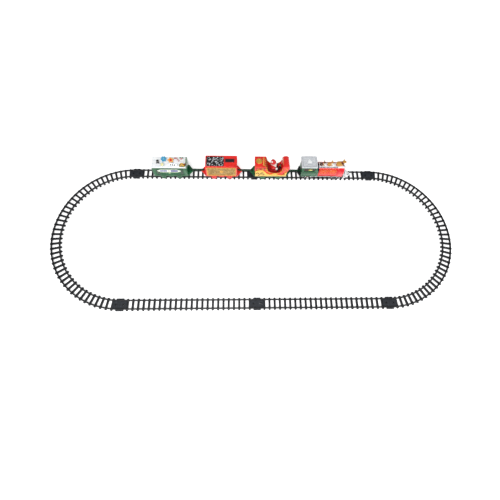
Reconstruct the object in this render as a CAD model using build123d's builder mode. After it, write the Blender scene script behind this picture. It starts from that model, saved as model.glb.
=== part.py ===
from build123d import *
from math import acos, cos, degrees, pi, radians, sin, sqrt, tan
import os

# Toy train set: an oval of snap-together track, a battery locomotive and three wagons.
# Millimetres. The origin is the middle of the oval on the floor, +X along the straight
# sides (the way the train heads), +Y to the side the train stands on, +Z up.

os.makedirs("parts", exist_ok=True)

# Track
CURVE_R = 184.0                 # centreline of a half circle
SECTION = 331.5                 # one straight section
TIE_LENGTH = 30.4
TIE_WIDTH = 5.0
TIE_HEIGHT = 4.0
STRAIGHT_TIES = 24
CURVE_TIES = 43
END_TIE = 18.0                  # last tie's centre from the seam
RAIL_OFFSET = 10.2              # rail's middle from the centreline
RAIL_WIDTH = 2.0
RAIL_FOOT = 1.0
RAIL_TOP = 8.5
SEAM_GAP = 0.2
PLATE_TOP = 5.0
LUG_LENGTH = 9.0
TONGUE_LENGTH = 12.5
TONGUE_WIDTH = 12.0
TONGUE_THICKNESS = 1.6
PEG_FROM_SEAM = 9.0
PEG_R = 1.9
SNAP_CLEARANCE = 0.2

# Running gear
TRACK_Y = CURVE_R               # the train stands on the back straight
WHEEL_R = 8.0
FLANGE_R = 9.2
AXLE_R = 1.0
RUNNING_FIT = 0.08
RAIL_GAP = 0.15
AXLE_Z = RAIL_TOP + RAIL_GAP + WHEEL_R
FLANGE_IN, FLANGE_OUT, TREAD_OUT = 7.4, 8.8, 12.4

# Wagon and locomotive frames
DECK_LOW = 21.5
DECK_TOP = 24.5
HALF_WIDTH = 18.0
WALL = 1.6
GUARD_R = 7.8
GUARD_IN = 15.6
WAGON_AXLE_HALF = 17.0
WHEELBASE = 43.0
EAR_LENGTH = 13.6
EAR_TIP_R = 5.0
COUPLING_HOLE_R = 2.6
COUPLING_HOLE_IN = 4.6          # hole's middle from the ear's tip
JOINT_GAP = 0.3

# Where each vehicle stands along the straight
GREEN_X, RED_X, SLEIGH_X = -230.5, -91.5, 44.0
GREEN_HALF, RED_HALF, SLEIGH_HALF = 46.5, 42.75, 43.5
REAR_AXLE_X, FRONT_AXLE_X = 150.0, 225.0

STAND = (Align.CENTER, Align.CENTER, Align.MIN)


def save(builder, name):
    builder.part.label = name
    export_step(builder.part, f"parts/{name}.step")


def side_plane(x, y, z):
    """A sketch plane facing the near side: its x is world X and its y is world Z.
    y counts from the train's centreline; extruding goes towards -Y."""
    return Plane(origin=(x, TRACK_Y + y, z), x_dir=(1, 0, 0), z_dir=(0, -1, 0))


def end_plane(x, z=0.0):
    """A sketch plane across the train: its x is world Y and its y is world Z."""
    return Plane(origin=(x, TRACK_Y, z), x_dir=(0, 1, 0), z_dir=(1, 0, 0))


def deck_plane(x, z, y=0.0):
    """A level sketch plane on the train's centreline."""
    return Plane(origin=(x, TRACK_Y + y, z), x_dir=(1, 0, 0), z_dir=(0, 0, 1))


# ---------------------------------------------------------------- track

def seam(plane, female):
    """One end of a section. plane stands on the floor at the seam, its x into the section."""
    inner = END_TIE - SEAM_GAP / 2
    with BuildSketch(plane) as outline:
        with Locations((SEAM_GAP / 2 + inner / 2, 0)):
            Rectangle(inner, 2 * RAIL_OFFSET)
        with Locations((SEAM_GAP / 2 + LUG_LENGTH / 2, 0)):
            RectangleRounded(LUG_LENGTH, TIE_LENGTH, 1.2)
    extrude(outline.sketch, amount=PLATE_TOP)
    if female:
        with BuildSketch(plane) as outline:
            with Locations((TONGUE_LENGTH / 2, 0)):
                Rectangle(TONGUE_LENGTH + 2 * SNAP_CLEARANCE, TONGUE_WIDTH + 2 * SNAP_CLEARANCE)
        extrude(outline.sketch, amount=TONGUE_THICKNESS + SNAP_CLEARANCE, mode=Mode.SUBTRACT)
        with BuildSketch(plane) as outline:
            with Locations((PEG_FROM_SEAM, 0)):
                Circle(PEG_R + SNAP_CLEARANCE)
        extrude(outline.sketch, amount=PLATE_TOP, mode=Mode.SUBTRACT)
    else:
        reach = TONGUE_LENGTH + END_TIE / 2
        with BuildSketch(plane) as outline:
            with Locations((END_TIE / 2 - reach / 2, 0)):
                Rectangle(reach, TONGUE_WIDTH)
        extrude(outline.sketch, amount=TONGUE_THICKNESS)
        with BuildSketch(plane) as outline:
            with Locations((-PEG_FROM_SEAM, 0)):
                Circle(PEG_R)
        extrude(outline.sketch, amount=PLATE_TOP - 0.6)


def straight_track(name, start, heading):
    base = Plane(origin=start, x_dir=heading, z_dir=(0, 0, 1))
    far_end = Plane(origin=base.from_local_coords((SECTION, 0, 0)), x_dir=-base.x_dir,
                    z_dir=(0, 0, 1))
    pitch = (SECTION - 2 * END_TIE) / (STRAIGHT_TIES - 1)
    with BuildPart() as section:
        with BuildSketch(base):
            with Locations((SECTION / 2, 0)):
                with GridLocations(pitch, 0, STRAIGHT_TIES, 1):
                    SlotOverall(TIE_LENGTH, TIE_WIDTH, rotation=90)
        extrude(amount=TIE_HEIGHT)
        with BuildSketch(base.offset(RAIL_FOOT)):
            with Locations((SECTION / 2, 0)):
                with GridLocations(0, 2 * RAIL_OFFSET, 1, 2):
                    Rectangle(SECTION - SEAM_GAP, RAIL_WIDTH)
        extrude(amount=RAIL_TOP - RAIL_FOOT)
        seam(base, female=False)
        seam(far_end, female=True)
    save(section, name)


def curve_track(name, centre_x, turn):
    """A half circle; turn is 1 for the right end of the oval and -1 for the left."""
    base = Plane(origin=(centre_x, 0, 0), x_dir=(turn, 0, 0), z_dir=(0, 0, 1))
    end_angle = degrees(END_TIE / CURVE_R)
    step = (180 - 2 * end_angle) / (CURVE_TIES - 1)
    start = Plane(origin=base.from_local_coords((0, -CURVE_R, 0)), x_dir=base.x_dir,
                  z_dir=(0, 0, 1))
    finish = Plane(origin=base.from_local_coords((0, CURVE_R, 0)), x_dir=base.x_dir,
                   z_dir=(0, 0, 1))
    with BuildPart() as section:
        with BuildSketch(base):
            with PolarLocations(CURVE_R, CURVE_TIES, end_angle - 90,
                                step * CURVE_TIES):
                SlotOverall(TIE_LENGTH, TIE_WIDTH)
        extrude(amount=TIE_HEIGHT)
        with BuildSketch(base.offset(RAIL_FOOT)):
            for rail in (CURVE_R + RAIL_OFFSET, CURVE_R - RAIL_OFFSET):
                Circle(rail + RAIL_WIDTH / 2)
                Circle(rail - RAIL_WIDTH / 2, mode=Mode.SUBTRACT)
            with Locations((SEAM_GAP / 2 - 2 * CURVE_R, 0)):
                Rectangle(4 * CURVE_R, 4 * CURVE_R, mode=Mode.SUBTRACT)
        extrude(amount=RAIL_TOP - RAIL_FOOT)
        seam(start, female=False)
        seam(finish, female=True)
    save(section, name)


straight_track("straight_track_front_left", (-SECTION, -CURVE_R, 0), (1, 0, 0))
straight_track("straight_track_front_right", (0, -CURVE_R, 0), (1, 0, 0))
straight_track("straight_track_back_right", (SECTION, CURVE_R, 0), (-1, 0, 0))
straight_track("straight_track_back_left", (0, CURVE_R, 0), (-1, 0, 0))
curve_track("curve_track_right", SECTION, 1)
curve_track("curve_track_left", -SECTION, -1)


# ---------------------------------------------------------------- wheelsets

HUB_R = 2.4
RIM_R = 6.4
DISH = 1.1


def wheelset(name, x, axle_half, crank_pins=()):
    """Two flanged wheels and their axle, moulded in one piece. crank_pins lists
    (side, angle) of the pins that carry the side rods."""
    with BuildPart() as pair:
        with BuildSketch(Plane(origin=(x, TRACK_Y, AXLE_Z), x_dir=(0, 1, 0), z_dir=(1, 0, 0))):
            for side in (-1, 1):
                with BuildLine():
                    Polyline((side * (FLANGE_IN - 0.6), 0), (side * (FLANGE_IN - 0.6), HUB_R),
                             (side * FLANGE_IN, HUB_R), (side * FLANGE_IN, FLANGE_R - 0.5),
                             (side * (FLANGE_IN + 0.4), FLANGE_R),
                             (side * (FLANGE_OUT - 0.3), FLANGE_R), (side * FLANGE_OUT, WHEEL_R),
                             (side * TREAD_OUT, WHEEL_R - 0.1), (side * TREAD_OUT, RIM_R),
                             (side * (TREAD_OUT - DISH), RIM_R - 0.3),
                             (side * (TREAD_OUT - DISH), HUB_R), (side * TREAD_OUT, HUB_R),
                             (side * TREAD_OUT, 0), close=True)
                make_face()
            with Locations((0, AXLE_R / 2)):
                Rectangle(2 * axle_half, AXLE_R)
        revolve(axis=Axis((x, TRACK_Y, AXLE_Z), (0, 1, 0)))
        for side, angle in crank_pins:
            px = x + CRANK_R * cos(radians(angle))
            pz = AXLE_Z + CRANK_R * sin(radians(angle))
            y0 = -side * (TREAD_OUT - DISH)
            with BuildSketch(side_plane(px, -y0, pz)):
                Circle(CRANK_PIN_R + 1.0)
            extrude(amount=-side * (DISH + 0.4))
            with BuildSketch(side_plane(px, -y0, pz)):
                Circle(CRANK_PIN_R)
            extrude(amount=-side * (ROD_OUT + 0.2 - TREAD_OUT + DISH))
            with BuildSketch(side_plane(px, side * (ROD_OUT + 0.2), pz)):
                Circle(CRANK_PIN_R + 0.5)
            extrude(amount=-side * 0.6)
    save(pair, name)


CRANK_R = 2.8
CRANK_PIN_R = 1.0
ROD_IN, ROD_OUT = 13.2, 14.6
LEFT_CRANK, RIGHT_CRANK = 0.0, 90.0       # the two sides are a quarter turn apart

for wagon, centre in (("green", GREEN_X), ("red", RED_X), ("sleigh", SLEIGH_X)):
    wheelset(f"{wagon}_wagon_rear_wheelset", centre - WHEELBASE / 2, WAGON_AXLE_HALF)
    wheelset(f"{wagon}_wagon_front_wheelset", centre + WHEELBASE / 2, WAGON_AXLE_HALF)
CRANKS = ((-1, RIGHT_CRANK), (1, LEFT_CRANK))
wheelset("loco_front_wheelset", FRONT_AXLE_X, FLANGE_IN, CRANKS)


# ---------------------------------------------------------------- drive train

GEAR_MODULE = 0.5
GEAR_BACKLASH = 0.10
AXLE_TEETH, SMALL_TEETH, LARGE_TEETH, PINION_TEETH = 30, 12, 32, 10
GEAR_BORE_R = 0.8
COMPOUND_Z = AXLE_Z + GEAR_MODULE * (AXLE_TEETH + SMALL_TEETH) / 2
MOTOR_Z = COMPOUND_Z + GEAR_MODULE * (LARGE_TEETH + PINION_TEETH) / 2
FIRST_STAGE = (-4.8, -1.8)                # span of the axle gear and the small gear along Y
SECOND_STAGE = (-1.5, 0.5)                # span of the large gear and the motor pinion
SHAFT_HALF = 6.4


def involute(angle):
    return tan(angle) - angle


def tooth_points(teeth, phase):
    """Outline of a gear, its first tooth phase degrees round from the sketch's x axis."""
    pitch_r = GEAR_MODULE * teeth / 2
    base_r = pitch_r * cos(radians(20))
    tip_r = pitch_r + 0.9 * GEAR_MODULE
    root_r = pitch_r - 1.2 * GEAR_MODULE
    half_pitch = (pi * GEAR_MODULE / 2 - GEAR_BACKLASH) / 2 / pitch_r

    def half_angle(r):
        return half_pitch + involute(radians(20)) - involute(acos(min(1.0, base_r / r)))

    low_r = max(base_r, root_r)
    radii = [root_r, low_r, (low_r + pitch_r) / 2, pitch_r, (pitch_r + tip_r) / 2, tip_r]
    points = []
    for tooth in range(teeth):
        middle = 2 * pi * tooth / teeth + radians(phase)
        rising = [(r, middle - half_angle(max(r, low_r))) for r in radii]
        falling = [(r, 2 * middle - a) for r, a in reversed(rising)]
        for r, a in rising + falling:
            points.append((r * cos(a), r * sin(a)))
    # drop repeated points where the root meets the base circle
    return [p for p, q in zip(points, points[1:] + points[:1])
            if sqrt((p[0] - q[0]) ** 2 + (p[1] - q[1]) ** 2) > 1e-4]


def spur(x, z, teeth, span, phase):
    """A toothed disc in the current part, across span (from, to) of the train's width."""
    with BuildSketch(side_plane(x, span[1], z)) as outline:
        with BuildLine():
            Polyline(*tooth_points(teeth, phase), close=True)
        make_face()
    extrude(outline.sketch, amount=span[1] - span[0])


def shaft(x, z, r, start, stop, mode=Mode.ADD):
    with BuildSketch(side_plane(x, stop, z)) as outline:
        Circle(r)
    extrude(outline.sketch, amount=stop - start, mode=mode)


wheelset("loco_rear_wheelset", REAR_AXLE_X, FLANGE_IN, CRANKS)

with BuildPart() as axle_gear:
    spur(REAR_AXLE_X, AXLE_Z, AXLE_TEETH, FIRST_STAGE, 90)
    shaft(REAR_AXLE_X, AXLE_Z, AXLE_R, -20, 20, Mode.SUBTRACT)
save(axle_gear, "loco_axle_gear")

with BuildPart() as reduction_gear:
    spur(REAR_AXLE_X, COMPOUND_Z, SMALL_TEETH, FIRST_STAGE, -90 + 180 / SMALL_TEETH)
    spur(REAR_AXLE_X, COMPOUND_Z, LARGE_TEETH, SECOND_STAGE, 90)
    shaft(REAR_AXLE_X, COMPOUND_Z, 2.0, FIRST_STAGE[1], SECOND_STAGE[0])
    shaft(REAR_AXLE_X, COMPOUND_Z, GEAR_BORE_R, -SHAFT_HALF, SHAFT_HALF)
save(reduction_gear, "loco_reduction_gear")

MOTOR_R = 7.4
MOTOR_SPAN = (1.4, 15.2)

with BuildPart() as motor_pinion:
    spur(REAR_AXLE_X, MOTOR_Z, PINION_TEETH, SECOND_STAGE, -90 + 180 / PINION_TEETH)
    shaft(REAR_AXLE_X, MOTOR_Z, GEAR_BORE_R, SECOND_STAGE[0], MOTOR_SPAN[0] + 2.0)
save(motor_pinion, "loco_motor_pinion")

with BuildPart() as motor:
    shaft(REAR_AXLE_X, MOTOR_Z, MOTOR_R, *MOTOR_SPAN)
    shaft(REAR_AXLE_X, MOTOR_Z, 2.4, SECOND_STAGE[1] + 0.4, MOTOR_SPAN[0])
    shaft(REAR_AXLE_X, MOTOR_Z, GEAR_BORE_R + RUNNING_FIT, 0, MOTOR_SPAN[0] + 2.2, Mode.SUBTRACT)
    with BuildSketch(side_plane(REAR_AXLE_X, MOTOR_SPAN[1] + 0.6, MOTOR_Z)):
        with GridLocations(8.0, 0, 2, 1):
            Rectangle(1.6, 3.0)
    extrude(amount=1.0)
save(motor, "loco_motor")


def side_rod(name, side, crank_angle):
    """Joins the crank pins of one side. The rear pin fits it; the front hole has slack."""
    dx, dz = CRANK_R * cos(radians(crank_angle)), CRANK_R * sin(radians(crank_angle))
    length = FRONT_AXLE_X - REAR_AXLE_X
    outer = ROD_OUT if side > 0 else -ROD_IN
    with BuildPart() as rod:
        with BuildSketch(side_plane(REAR_AXLE_X + dx, outer, AXLE_Z + dz)):
            with Locations((length / 2, 0)):
                Rectangle(length, 1.9)
                Rectangle(length * 0.62, 2.4)
            with Locations((0, 0), (length, 0)):
                Circle(1.8)
            Circle(CRANK_PIN_R + RUNNING_FIT, mode=Mode.SUBTRACT)
            with Locations((length, 0)):
                Circle(CRANK_PIN_R + JOINT_GAP, mode=Mode.SUBTRACT)
        extrude(amount=ROD_OUT - ROD_IN)
    save(rod, name)


side_rod("loco_side_rod_right", -1, RIGHT_CRANK)
side_rod("loco_side_rod_left", 1, LEFT_CRANK)


# ---------------------------------------------------------------- wagon frames and couplings

def ear(x, end, deck_half, length=EAR_LENGTH):
    """Tapered platform end. end is 1 towards the front of the train, -1 to the rear."""
    tip = deck_half + length - EAR_TIP_R
    with BuildSketch(deck_plane(x, DECK_LOW)) as outline:
        with BuildLine():
            Polyline((end * (deck_half - 1), -HALF_WIDTH + 1.5),
                     (end * (deck_half + 2), -HALF_WIDTH + 1.5), (end * (tip + 2.6), -EAR_TIP_R + 0.8),
                     (end * (tip + 2.6), EAR_TIP_R - 0.8), (end * (deck_half + 2), HALF_WIDTH - 1.5),
                     (end * (deck_half - 1), HALF_WIDTH - 1.5), close=True)
        make_face()
        with Locations((end * tip, 0)):
            Circle(EAR_TIP_R)
    extrude(outline.sketch, amount=DECK_TOP - DECK_LOW)
    hole_x = x + end * (deck_half + length - COUPLING_HOLE_IN)
    with BuildSketch(deck_plane(hole_x, DECK_LOW)) as outline:
        Circle(COUPLING_HOLE_R)
    extrude(outline.sketch, amount=DECK_TOP - DECK_LOW, mode=Mode.SUBTRACT)


DRAWBAR_PIN_R = 1.0
DRAWBAR_Z = DECK_TOP + 2.4                # pivot height
DRAWBAR_EYE_R = 1.9
LUG_IN, LUG_OUT = 2.5, 4.3
DRAWBAR_PEG_R = 1.8


def coupling_lugs(pivot_x):
    for side in (-1, 1):
        start = side * (LUG_IN + LUG_OUT) / 2
        with BuildSketch(side_plane(pivot_x, start + (LUG_OUT - LUG_IN) / 2, DECK_TOP)) as outline:
            with Locations((0, (DRAWBAR_Z - DECK_TOP) / 2 - 0.3)):
                Rectangle(2 * DRAWBAR_EYE_R, DRAWBAR_Z - DECK_TOP + 0.6)
            with Locations((0, DRAWBAR_Z - DECK_TOP)):
                Circle(DRAWBAR_EYE_R)
        extrude(outline.sketch, amount=LUG_OUT - LUG_IN)
    shaft(pivot_x, DRAWBAR_Z, DRAWBAR_PIN_R + RUNNING_FIT, -LUG_OUT, LUG_OUT, Mode.SUBTRACT)


def wagon_frame(name, x, deck_half, ends=(-1, 1)):
    """Deck with its wheel guards; ends lists where it has a coupling ear (-1 rear, 1 front)."""
    with BuildPart() as frame:
        with BuildSketch(deck_plane(x, DECK_LOW)):
            Rectangle(2 * deck_half, 2 * HALF_WIDTH)
            with GridLocations(WHEELBASE, FLANGE_IN + TREAD_OUT, 2, 2):
                Rectangle(2 * FLANGE_R + 1.6, TREAD_OUT - FLANGE_IN + 1.6, mode=Mode.SUBTRACT)
        extrude(amount=DECK_TOP - DECK_LOW)
        for side in (-1, 1):
            outer = HALF_WIDTH if side > 0 else -GUARD_IN
            for end in (-1, 1):
                with BuildSketch(side_plane(x + end * WHEELBASE / 2, outer, AXLE_Z)):
                    Circle(GUARD_R)
                extrude(amount=HALF_WIDTH - GUARD_IN)
                cap = HALF_WIDTH + 0.5 if side > 0 else -HALF_WIDTH
                shaft(x + end * WHEELBASE / 2, AXLE_Z, 2.6, cap - 0.5, cap)
        for end in (-1, 1):
            shaft(x + end * WHEELBASE / 2, AXLE_Z, AXLE_R + RUNNING_FIT, -WAGON_AXLE_HALF - 0.2,
                  WAGON_AXLE_HALF + 0.2, Mode.SUBTRACT)
        for end in ends:
            ear(x, end, deck_half)
        coupling_lugs(x + deck_half + 3.6)
    save(frame, name)


def drawbar(name, pivot_x, hole_x):
    """Bar from its pivot on the wagon behind to the hole in the vehicle ahead."""
    reach = hole_x - pivot_x
    with BuildPart() as bar:
        shaft(pivot_x, DRAWBAR_Z, DRAWBAR_EYE_R, -LUG_IN + JOINT_GAP, LUG_IN - JOINT_GAP)
        shaft(pivot_x, DRAWBAR_Z, DRAWBAR_PIN_R, -LUG_OUT, LUG_OUT)
        with BuildSketch(deck_plane(pivot_x, DRAWBAR_Z - 1.2)):
            with Locations((reach / 2, 0)):
                Rectangle(reach, 2 * (LUG_IN - JOINT_GAP))
            with Locations((reach, 0)):
                Circle(3.4)
        extrude(amount=2.4)
        with BuildSketch(deck_plane(hole_x, DECK_LOW - 0.6)):
            Circle(DRAWBAR_PEG_R)
        extrude(amount=DRAWBAR_Z - DECK_LOW)
        with BuildSketch(deck_plane(pivot_x, DRAWBAR_Z + 1.2)):
            with Locations((reach * 0.55, 0)):
                Rectangle(reach * 0.6, 1.6)
        extrude(amount=0.8)
    save(bar, name)


wagon_frame("green_wagon_frame", GREEN_X, GREEN_HALF, ends=(1,))
wagon_frame("red_wagon_frame", RED_X, RED_HALF)
wagon_frame("sleigh_wagon_frame", SLEIGH_X, SLEIGH_HALF)


def rear_hole_x(centre, deck_half):
    return centre - deck_half - EAR_LENGTH + COUPLING_HOLE_IN


LOCO_REAR = 128.0
LOCO_EAR = 10.0
LOCO_HOLE_X = LOCO_REAR - LOCO_EAR + COUPLING_HOLE_IN
drawbar("green_wagon_drawbar", GREEN_X + GREEN_HALF + 3.6, rear_hole_x(RED_X, RED_HALF))
drawbar("red_wagon_drawbar", RED_X + RED_HALF + 3.6, rear_hole_x(SLEIGH_X, SLEIGH_HALF))
drawbar("sleigh_wagon_drawbar", SLEIGH_X + SLEIGH_HALF + 3.6, LOCO_HOLE_X)


# ---------------------------------------------------------------- locomotive frame

LOCO_FRONT = 250.4
LOCO_DECK_HALF = 16.8
PLATE_IN, PLATE_OUT = 5.0, 6.6            # bearing plates inside the wheels
WELL_CLEAR = 1.0
CELL_R, CELL_LENGTH, CELL_NUB = 7.1, 49.2, 1.0
CELL_Y = 7.2
BOX_START, BOX_END = 160.4, 214.6         # battery box, outside
BOX_WALL = 1.0
BOX_HALF = 15.4
BOX_TOP = 38.0
DOOR_START, DOOR_END, DOOR_HALF = 162.4, 212.6, 14.2
DOOR_FLANGE_HALF = 12.8
DOOR_SCREW_X = 217.2
SHELL_SCREWS = ((134.0, -9.0), (134.0, 9.0), (240.0, 0.0))
SCREW_R, SCREW_HEAD_R = 1.3, 2.4
SPLASHER_R = 7.8

with BuildPart() as loco_frame:
    with BuildSketch(deck_plane(0, DECK_LOW)) as deck:
        with Locations(((LOCO_REAR + LOCO_FRONT) / 2, 0)):
            Rectangle(LOCO_FRONT - LOCO_REAR, 2 * LOCO_DECK_HALF)
        for axle_x in (REAR_AXLE_X, FRONT_AXLE_X):
            with Locations((axle_x, 0)):
                with GridLocations(0, FLANGE_IN + TREAD_OUT, 1, 2):
                    Rectangle(2 * (FLANGE_R + WELL_CLEAR), TREAD_OUT - FLANGE_IN + 1.6,
                              mode=Mode.SUBTRACT)
        with Locations((REAR_AXLE_X, 0)):
            Rectangle(2 * (FLANGE_R + WELL_CLEAR), 2 * PLATE_IN, mode=Mode.SUBTRACT)
        with Locations(((DOOR_START + DOOR_END) / 2, 0)):
            Rectangle(DOOR_END - DOOR_START, 2 * DOOR_HALF, mode=Mode.SUBTRACT)
    extrude(amount=DECK_TOP - DECK_LOW)
    ear((LOCO_REAR + LOCO_FRONT) / 2, -1, (LOCO_FRONT - LOCO_REAR) / 2, LOCO_EAR)
    # bearing plates, the rear pair carried up to hold the reduction gear
    for axle_x, top in ((REAR_AXLE_X, COMPOUND_Z + 2.6), (FRONT_AXLE_X, DECK_TOP)):
        for side in (-1, 1):
            outer = PLATE_OUT if side > 0 else -PLATE_IN
            with BuildSketch(side_plane(axle_x, outer, 0)):
                with Locations((0, (top + AXLE_Z - 3.5) / 2)):
                    RectangleRounded(12.0, top - AXLE_Z + 3.5, 1.2)
            extrude(amount=PLATE_OUT - PLATE_IN)
        shaft(axle_x, AXLE_Z, AXLE_R + RUNNING_FIT, -PLATE_OUT, PLATE_OUT, Mode.SUBTRACT)
    shaft(REAR_AXLE_X, COMPOUND_Z, GEAR_BORE_R + RUNNING_FIT, -PLATE_OUT, PLATE_OUT, Mode.SUBTRACT)
    # cradle under the motor
    with BuildSketch(side_plane(REAR_AXLE_X, 14.8, 0)):
        with Locations((0, (DECK_TOP + MOTOR_Z) / 2 - 2.0)):
            Rectangle(17.0, MOTOR_Z - DECK_TOP - 4.0)
    extrude(amount=1.4)
    shaft(REAR_AXLE_X, MOTOR_Z, MOTOR_R + RUNNING_FIT, 0, 16, Mode.SUBTRACT)
    # battery box
    with BuildSketch(deck_plane((BOX_START + BOX_END) / 2, DECK_TOP)):
        Rectangle(BOX_END - BOX_START, 2 * BOX_HALF)
        Rectangle(BOX_END - BOX_START - 2 * BOX_WALL, 2 * (BOX_HALF - BOX_WALL), mode=Mode.SUBTRACT)
    extrude(amount=BOX_TOP - DECK_TOP)
    # round covers over the front wheels
    for side in (-1, 1):
        outer = LOCO_DECK_HALF + 0.8 if side > 0 else -LOCO_DECK_HALF + 0.8
        shaft(FRONT_AXLE_X, AXLE_Z, SPLASHER_R, outer - 1.6, outer)
    for x, y in SHELL_SCREWS + ((DOOR_SCREW_X, 0.0),):
        with BuildSketch(deck_plane(x, DECK_LOW, y)):
            Circle(SCREW_R + 0.1)
        extrude(amount=DECK_TOP - DECK_LOW, mode=Mode.SUBTRACT)
save(loco_frame, "loco_frame")

with BuildPart() as battery_door:
    with BuildSketch(deck_plane((DOOR_START + DOOR_END) / 2, DECK_LOW - 1.0)):
        Rectangle(DOOR_END - DOOR_START + 2.0, 2 * DOOR_FLANGE_HALF)
        with Locations((DOOR_SCREW_X - (DOOR_START + DOOR_END) / 2 - 2.0, 0)):
            Rectangle(10.0, 7.6)
    extrude(amount=1.0)
    with BuildSketch(deck_plane((DOOR_START + DOOR_END) / 2, DECK_LOW)):
        Rectangle(DOOR_END - DOOR_START - 0.4, 2 * DOOR_HALF - 0.4)
    extrude(amount=1.4)
    with BuildSketch(deck_plane(DOOR_SCREW_X, DECK_LOW - 1.0)):
        Circle(SCREW_R + 0.1)
    extrude(amount=1.0, mode=Mode.SUBTRACT)
    # finger ribs
    with BuildSketch(deck_plane(DOOR_START + 6.0, DECK_LOW - 1.4)):
        with GridLocations(2.0, 0, 4, 1):
            Rectangle(0.8, 12.0)
    extrude(amount=0.6)
save(battery_door, "loco_battery_door")

SCREW_LENGTH = 9.0
with BuildPart() as screws:
    for x, y, low in [(x, y, DECK_LOW) for x, y in SHELL_SCREWS] + [(DOOR_SCREW_X, 0, DECK_LOW - 1)]:
        length = SCREW_LENGTH if low == DECK_LOW else DECK_TOP - low - 0.2
        with BuildSketch(deck_plane(x, low - 1.2, y)):
            Circle(SCREW_HEAD_R)
        extrude(amount=1.2)
        with BuildSketch(deck_plane(x, low, y)):
            Circle(SCREW_R)
        extrude(amount=length)
        with BuildSketch(deck_plane(x, low - 1.2, y)):
            Rectangle(2.6, 0.6)
            Rectangle(0.6, 2.6)
        extrude(amount=0.6, mode=Mode.SUBTRACT)
save(screws, "loco_screws")

cell_low = BOX_START + BOX_WALL + 1.0
with BuildPart() as cells:
    for side in (-1, 1):
        body_start = cell_low if side < 0 else cell_low + CELL_NUB
        nub_start = cell_low + CELL_LENGTH if side < 0 else cell_low
        centre_z = DECK_LOW + 1.6 + CELL_R
        with BuildSketch(end_plane(body_start)):
            with Locations((side * CELL_Y, centre_z)):
                Circle(CELL_R)
        extrude(amount=CELL_LENGTH)
        with BuildSketch(end_plane(nub_start)):
            with Locations((side * CELL_Y, centre_z)):
                Circle(2.7)
        extrude(amount=CELL_NUB)
save(cells, "loco_battery_cells")

with BuildPart() as contacts:
    for side in (-1, 1):
        for start, flat_first in ((BOX_START + BOX_WALL, True), (BOX_END - BOX_WALL, False)):
            step = 1 if flat_first else -1
            with BuildSketch(end_plane(start)):
                with Locations((side * CELL_Y, centre_z)):
                    RectangleRounded(11.0, 11.0, 1.0)
            extrude(amount=0.35 * step)
            with BuildSketch(end_plane(start)):
                with Locations((side * CELL_Y, centre_z)):
                    Circle(3.6)
            extrude(amount=0.9 * step)
save(contacts, "loco_battery_contacts")

# ---------------------------------------------------------------- locomotive shells

BASE_Z = DECK_TOP + 0.1
CAB_TOP = 66.4
CAB_HALF = HALF_WIDTH
CAB_OUTLINE = ((128.0, BASE_Z), (175.5, BASE_Z), (174.5, 46.0), (170.0, 56.0), (168.0, CAB_TOP),
               (128.0, CAB_TOP))
CAB_INSIDE = ((129.6, BASE_Z), (173.9, BASE_Z), (172.9, 45.6), (168.4, 55.6), (166.4, CAB_TOP),
              (129.6, CAB_TOP))
WINDOW = (148.0, 56.6, 30.0, 13.0)        # middle x and z, width, height
SWITCH_Z = 42.0
SWITCH_TRAVEL = 4.0
KNOB_WIDTH, KNOB_HEIGHT = 4.0, 3.4

with BuildPart() as cab:
    with BuildSketch(side_plane(0, CAB_HALF, 0)):
        Polygon(*CAB_OUTLINE, align=None)
    extrude(amount=2 * CAB_HALF)
    fillet(cab.edges().filter_by(Axis.Z), 1.4)
    with BuildSketch(side_plane(0, CAB_HALF - WALL, 0)):
        Polygon(*CAB_INSIDE, align=None)
    extrude(amount=2 * (CAB_HALF - WALL), mode=Mode.SUBTRACT)
    with BuildSketch(side_plane(WINDOW[0], CAB_HALF, WINDOW[1])):
        RectangleRounded(WINDOW[2], WINDOW[3], 2.0)
    extrude(amount=2 * CAB_HALF, mode=Mode.SUBTRACT)
    # way through to the boiler, rear window and switch slot
    with BuildSketch(end_plane(166.0)):
        with Locations((0, 38.0)):
            Rectangle(31.4, 29.0)
    extrude(amount=14.0, mode=Mode.SUBTRACT)
    with BuildSketch(end_plane(127.0)):
        with Locations((0, 56.5)):
            RectangleRounded(16.0, 11.0, 3.0)
        with Locations((0, SWITCH_Z)):
            Rectangle(KNOB_WIDTH + SWITCH_TRAVEL + 0.6, KNOB_HEIGHT + 0.6)
    extrude(amount=4.0, mode=Mode.SUBTRACT)
    for x, y in SHELL_SCREWS[:2]:
        with BuildSketch(deck_plane(x, BASE_Z, y)):
            Circle(3.2)
            with Locations((-3.0, 0)):
                Rectangle(5.0, 1.4)
            Circle(SCREW_R + 0.05, mode=Mode.SUBTRACT)
        extrude(amount=12.0)
save(cab, "loco_cab")

with BuildPart() as cab_windows:
    for side in (-1, 1):
        outer = CAB_HALF - WALL - 0.05 if side > 0 else -(CAB_HALF - WALL - 0.05) + 1.2
        with BuildSketch(side_plane(WINDOW[0], outer, WINDOW[1])):
            RectangleRounded(WINDOW[2] + 3.0, WINDOW[3] + 3.0, 2.0)
        extrude(amount=1.2)
        inner = CAB_HALF - 0.9 if side > 0 else -(CAB_HALF - WALL - 0.05)
        with BuildSketch(side_plane(WINDOW[0], inner, WINDOW[1])):
            RectangleRounded(WINDOW[2] - 0.4, WINDOW[3] - 0.4, 1.8)
        extrude(amount=WALL - 0.85)
save(cab_windows, "loco_cab_windows")

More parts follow.
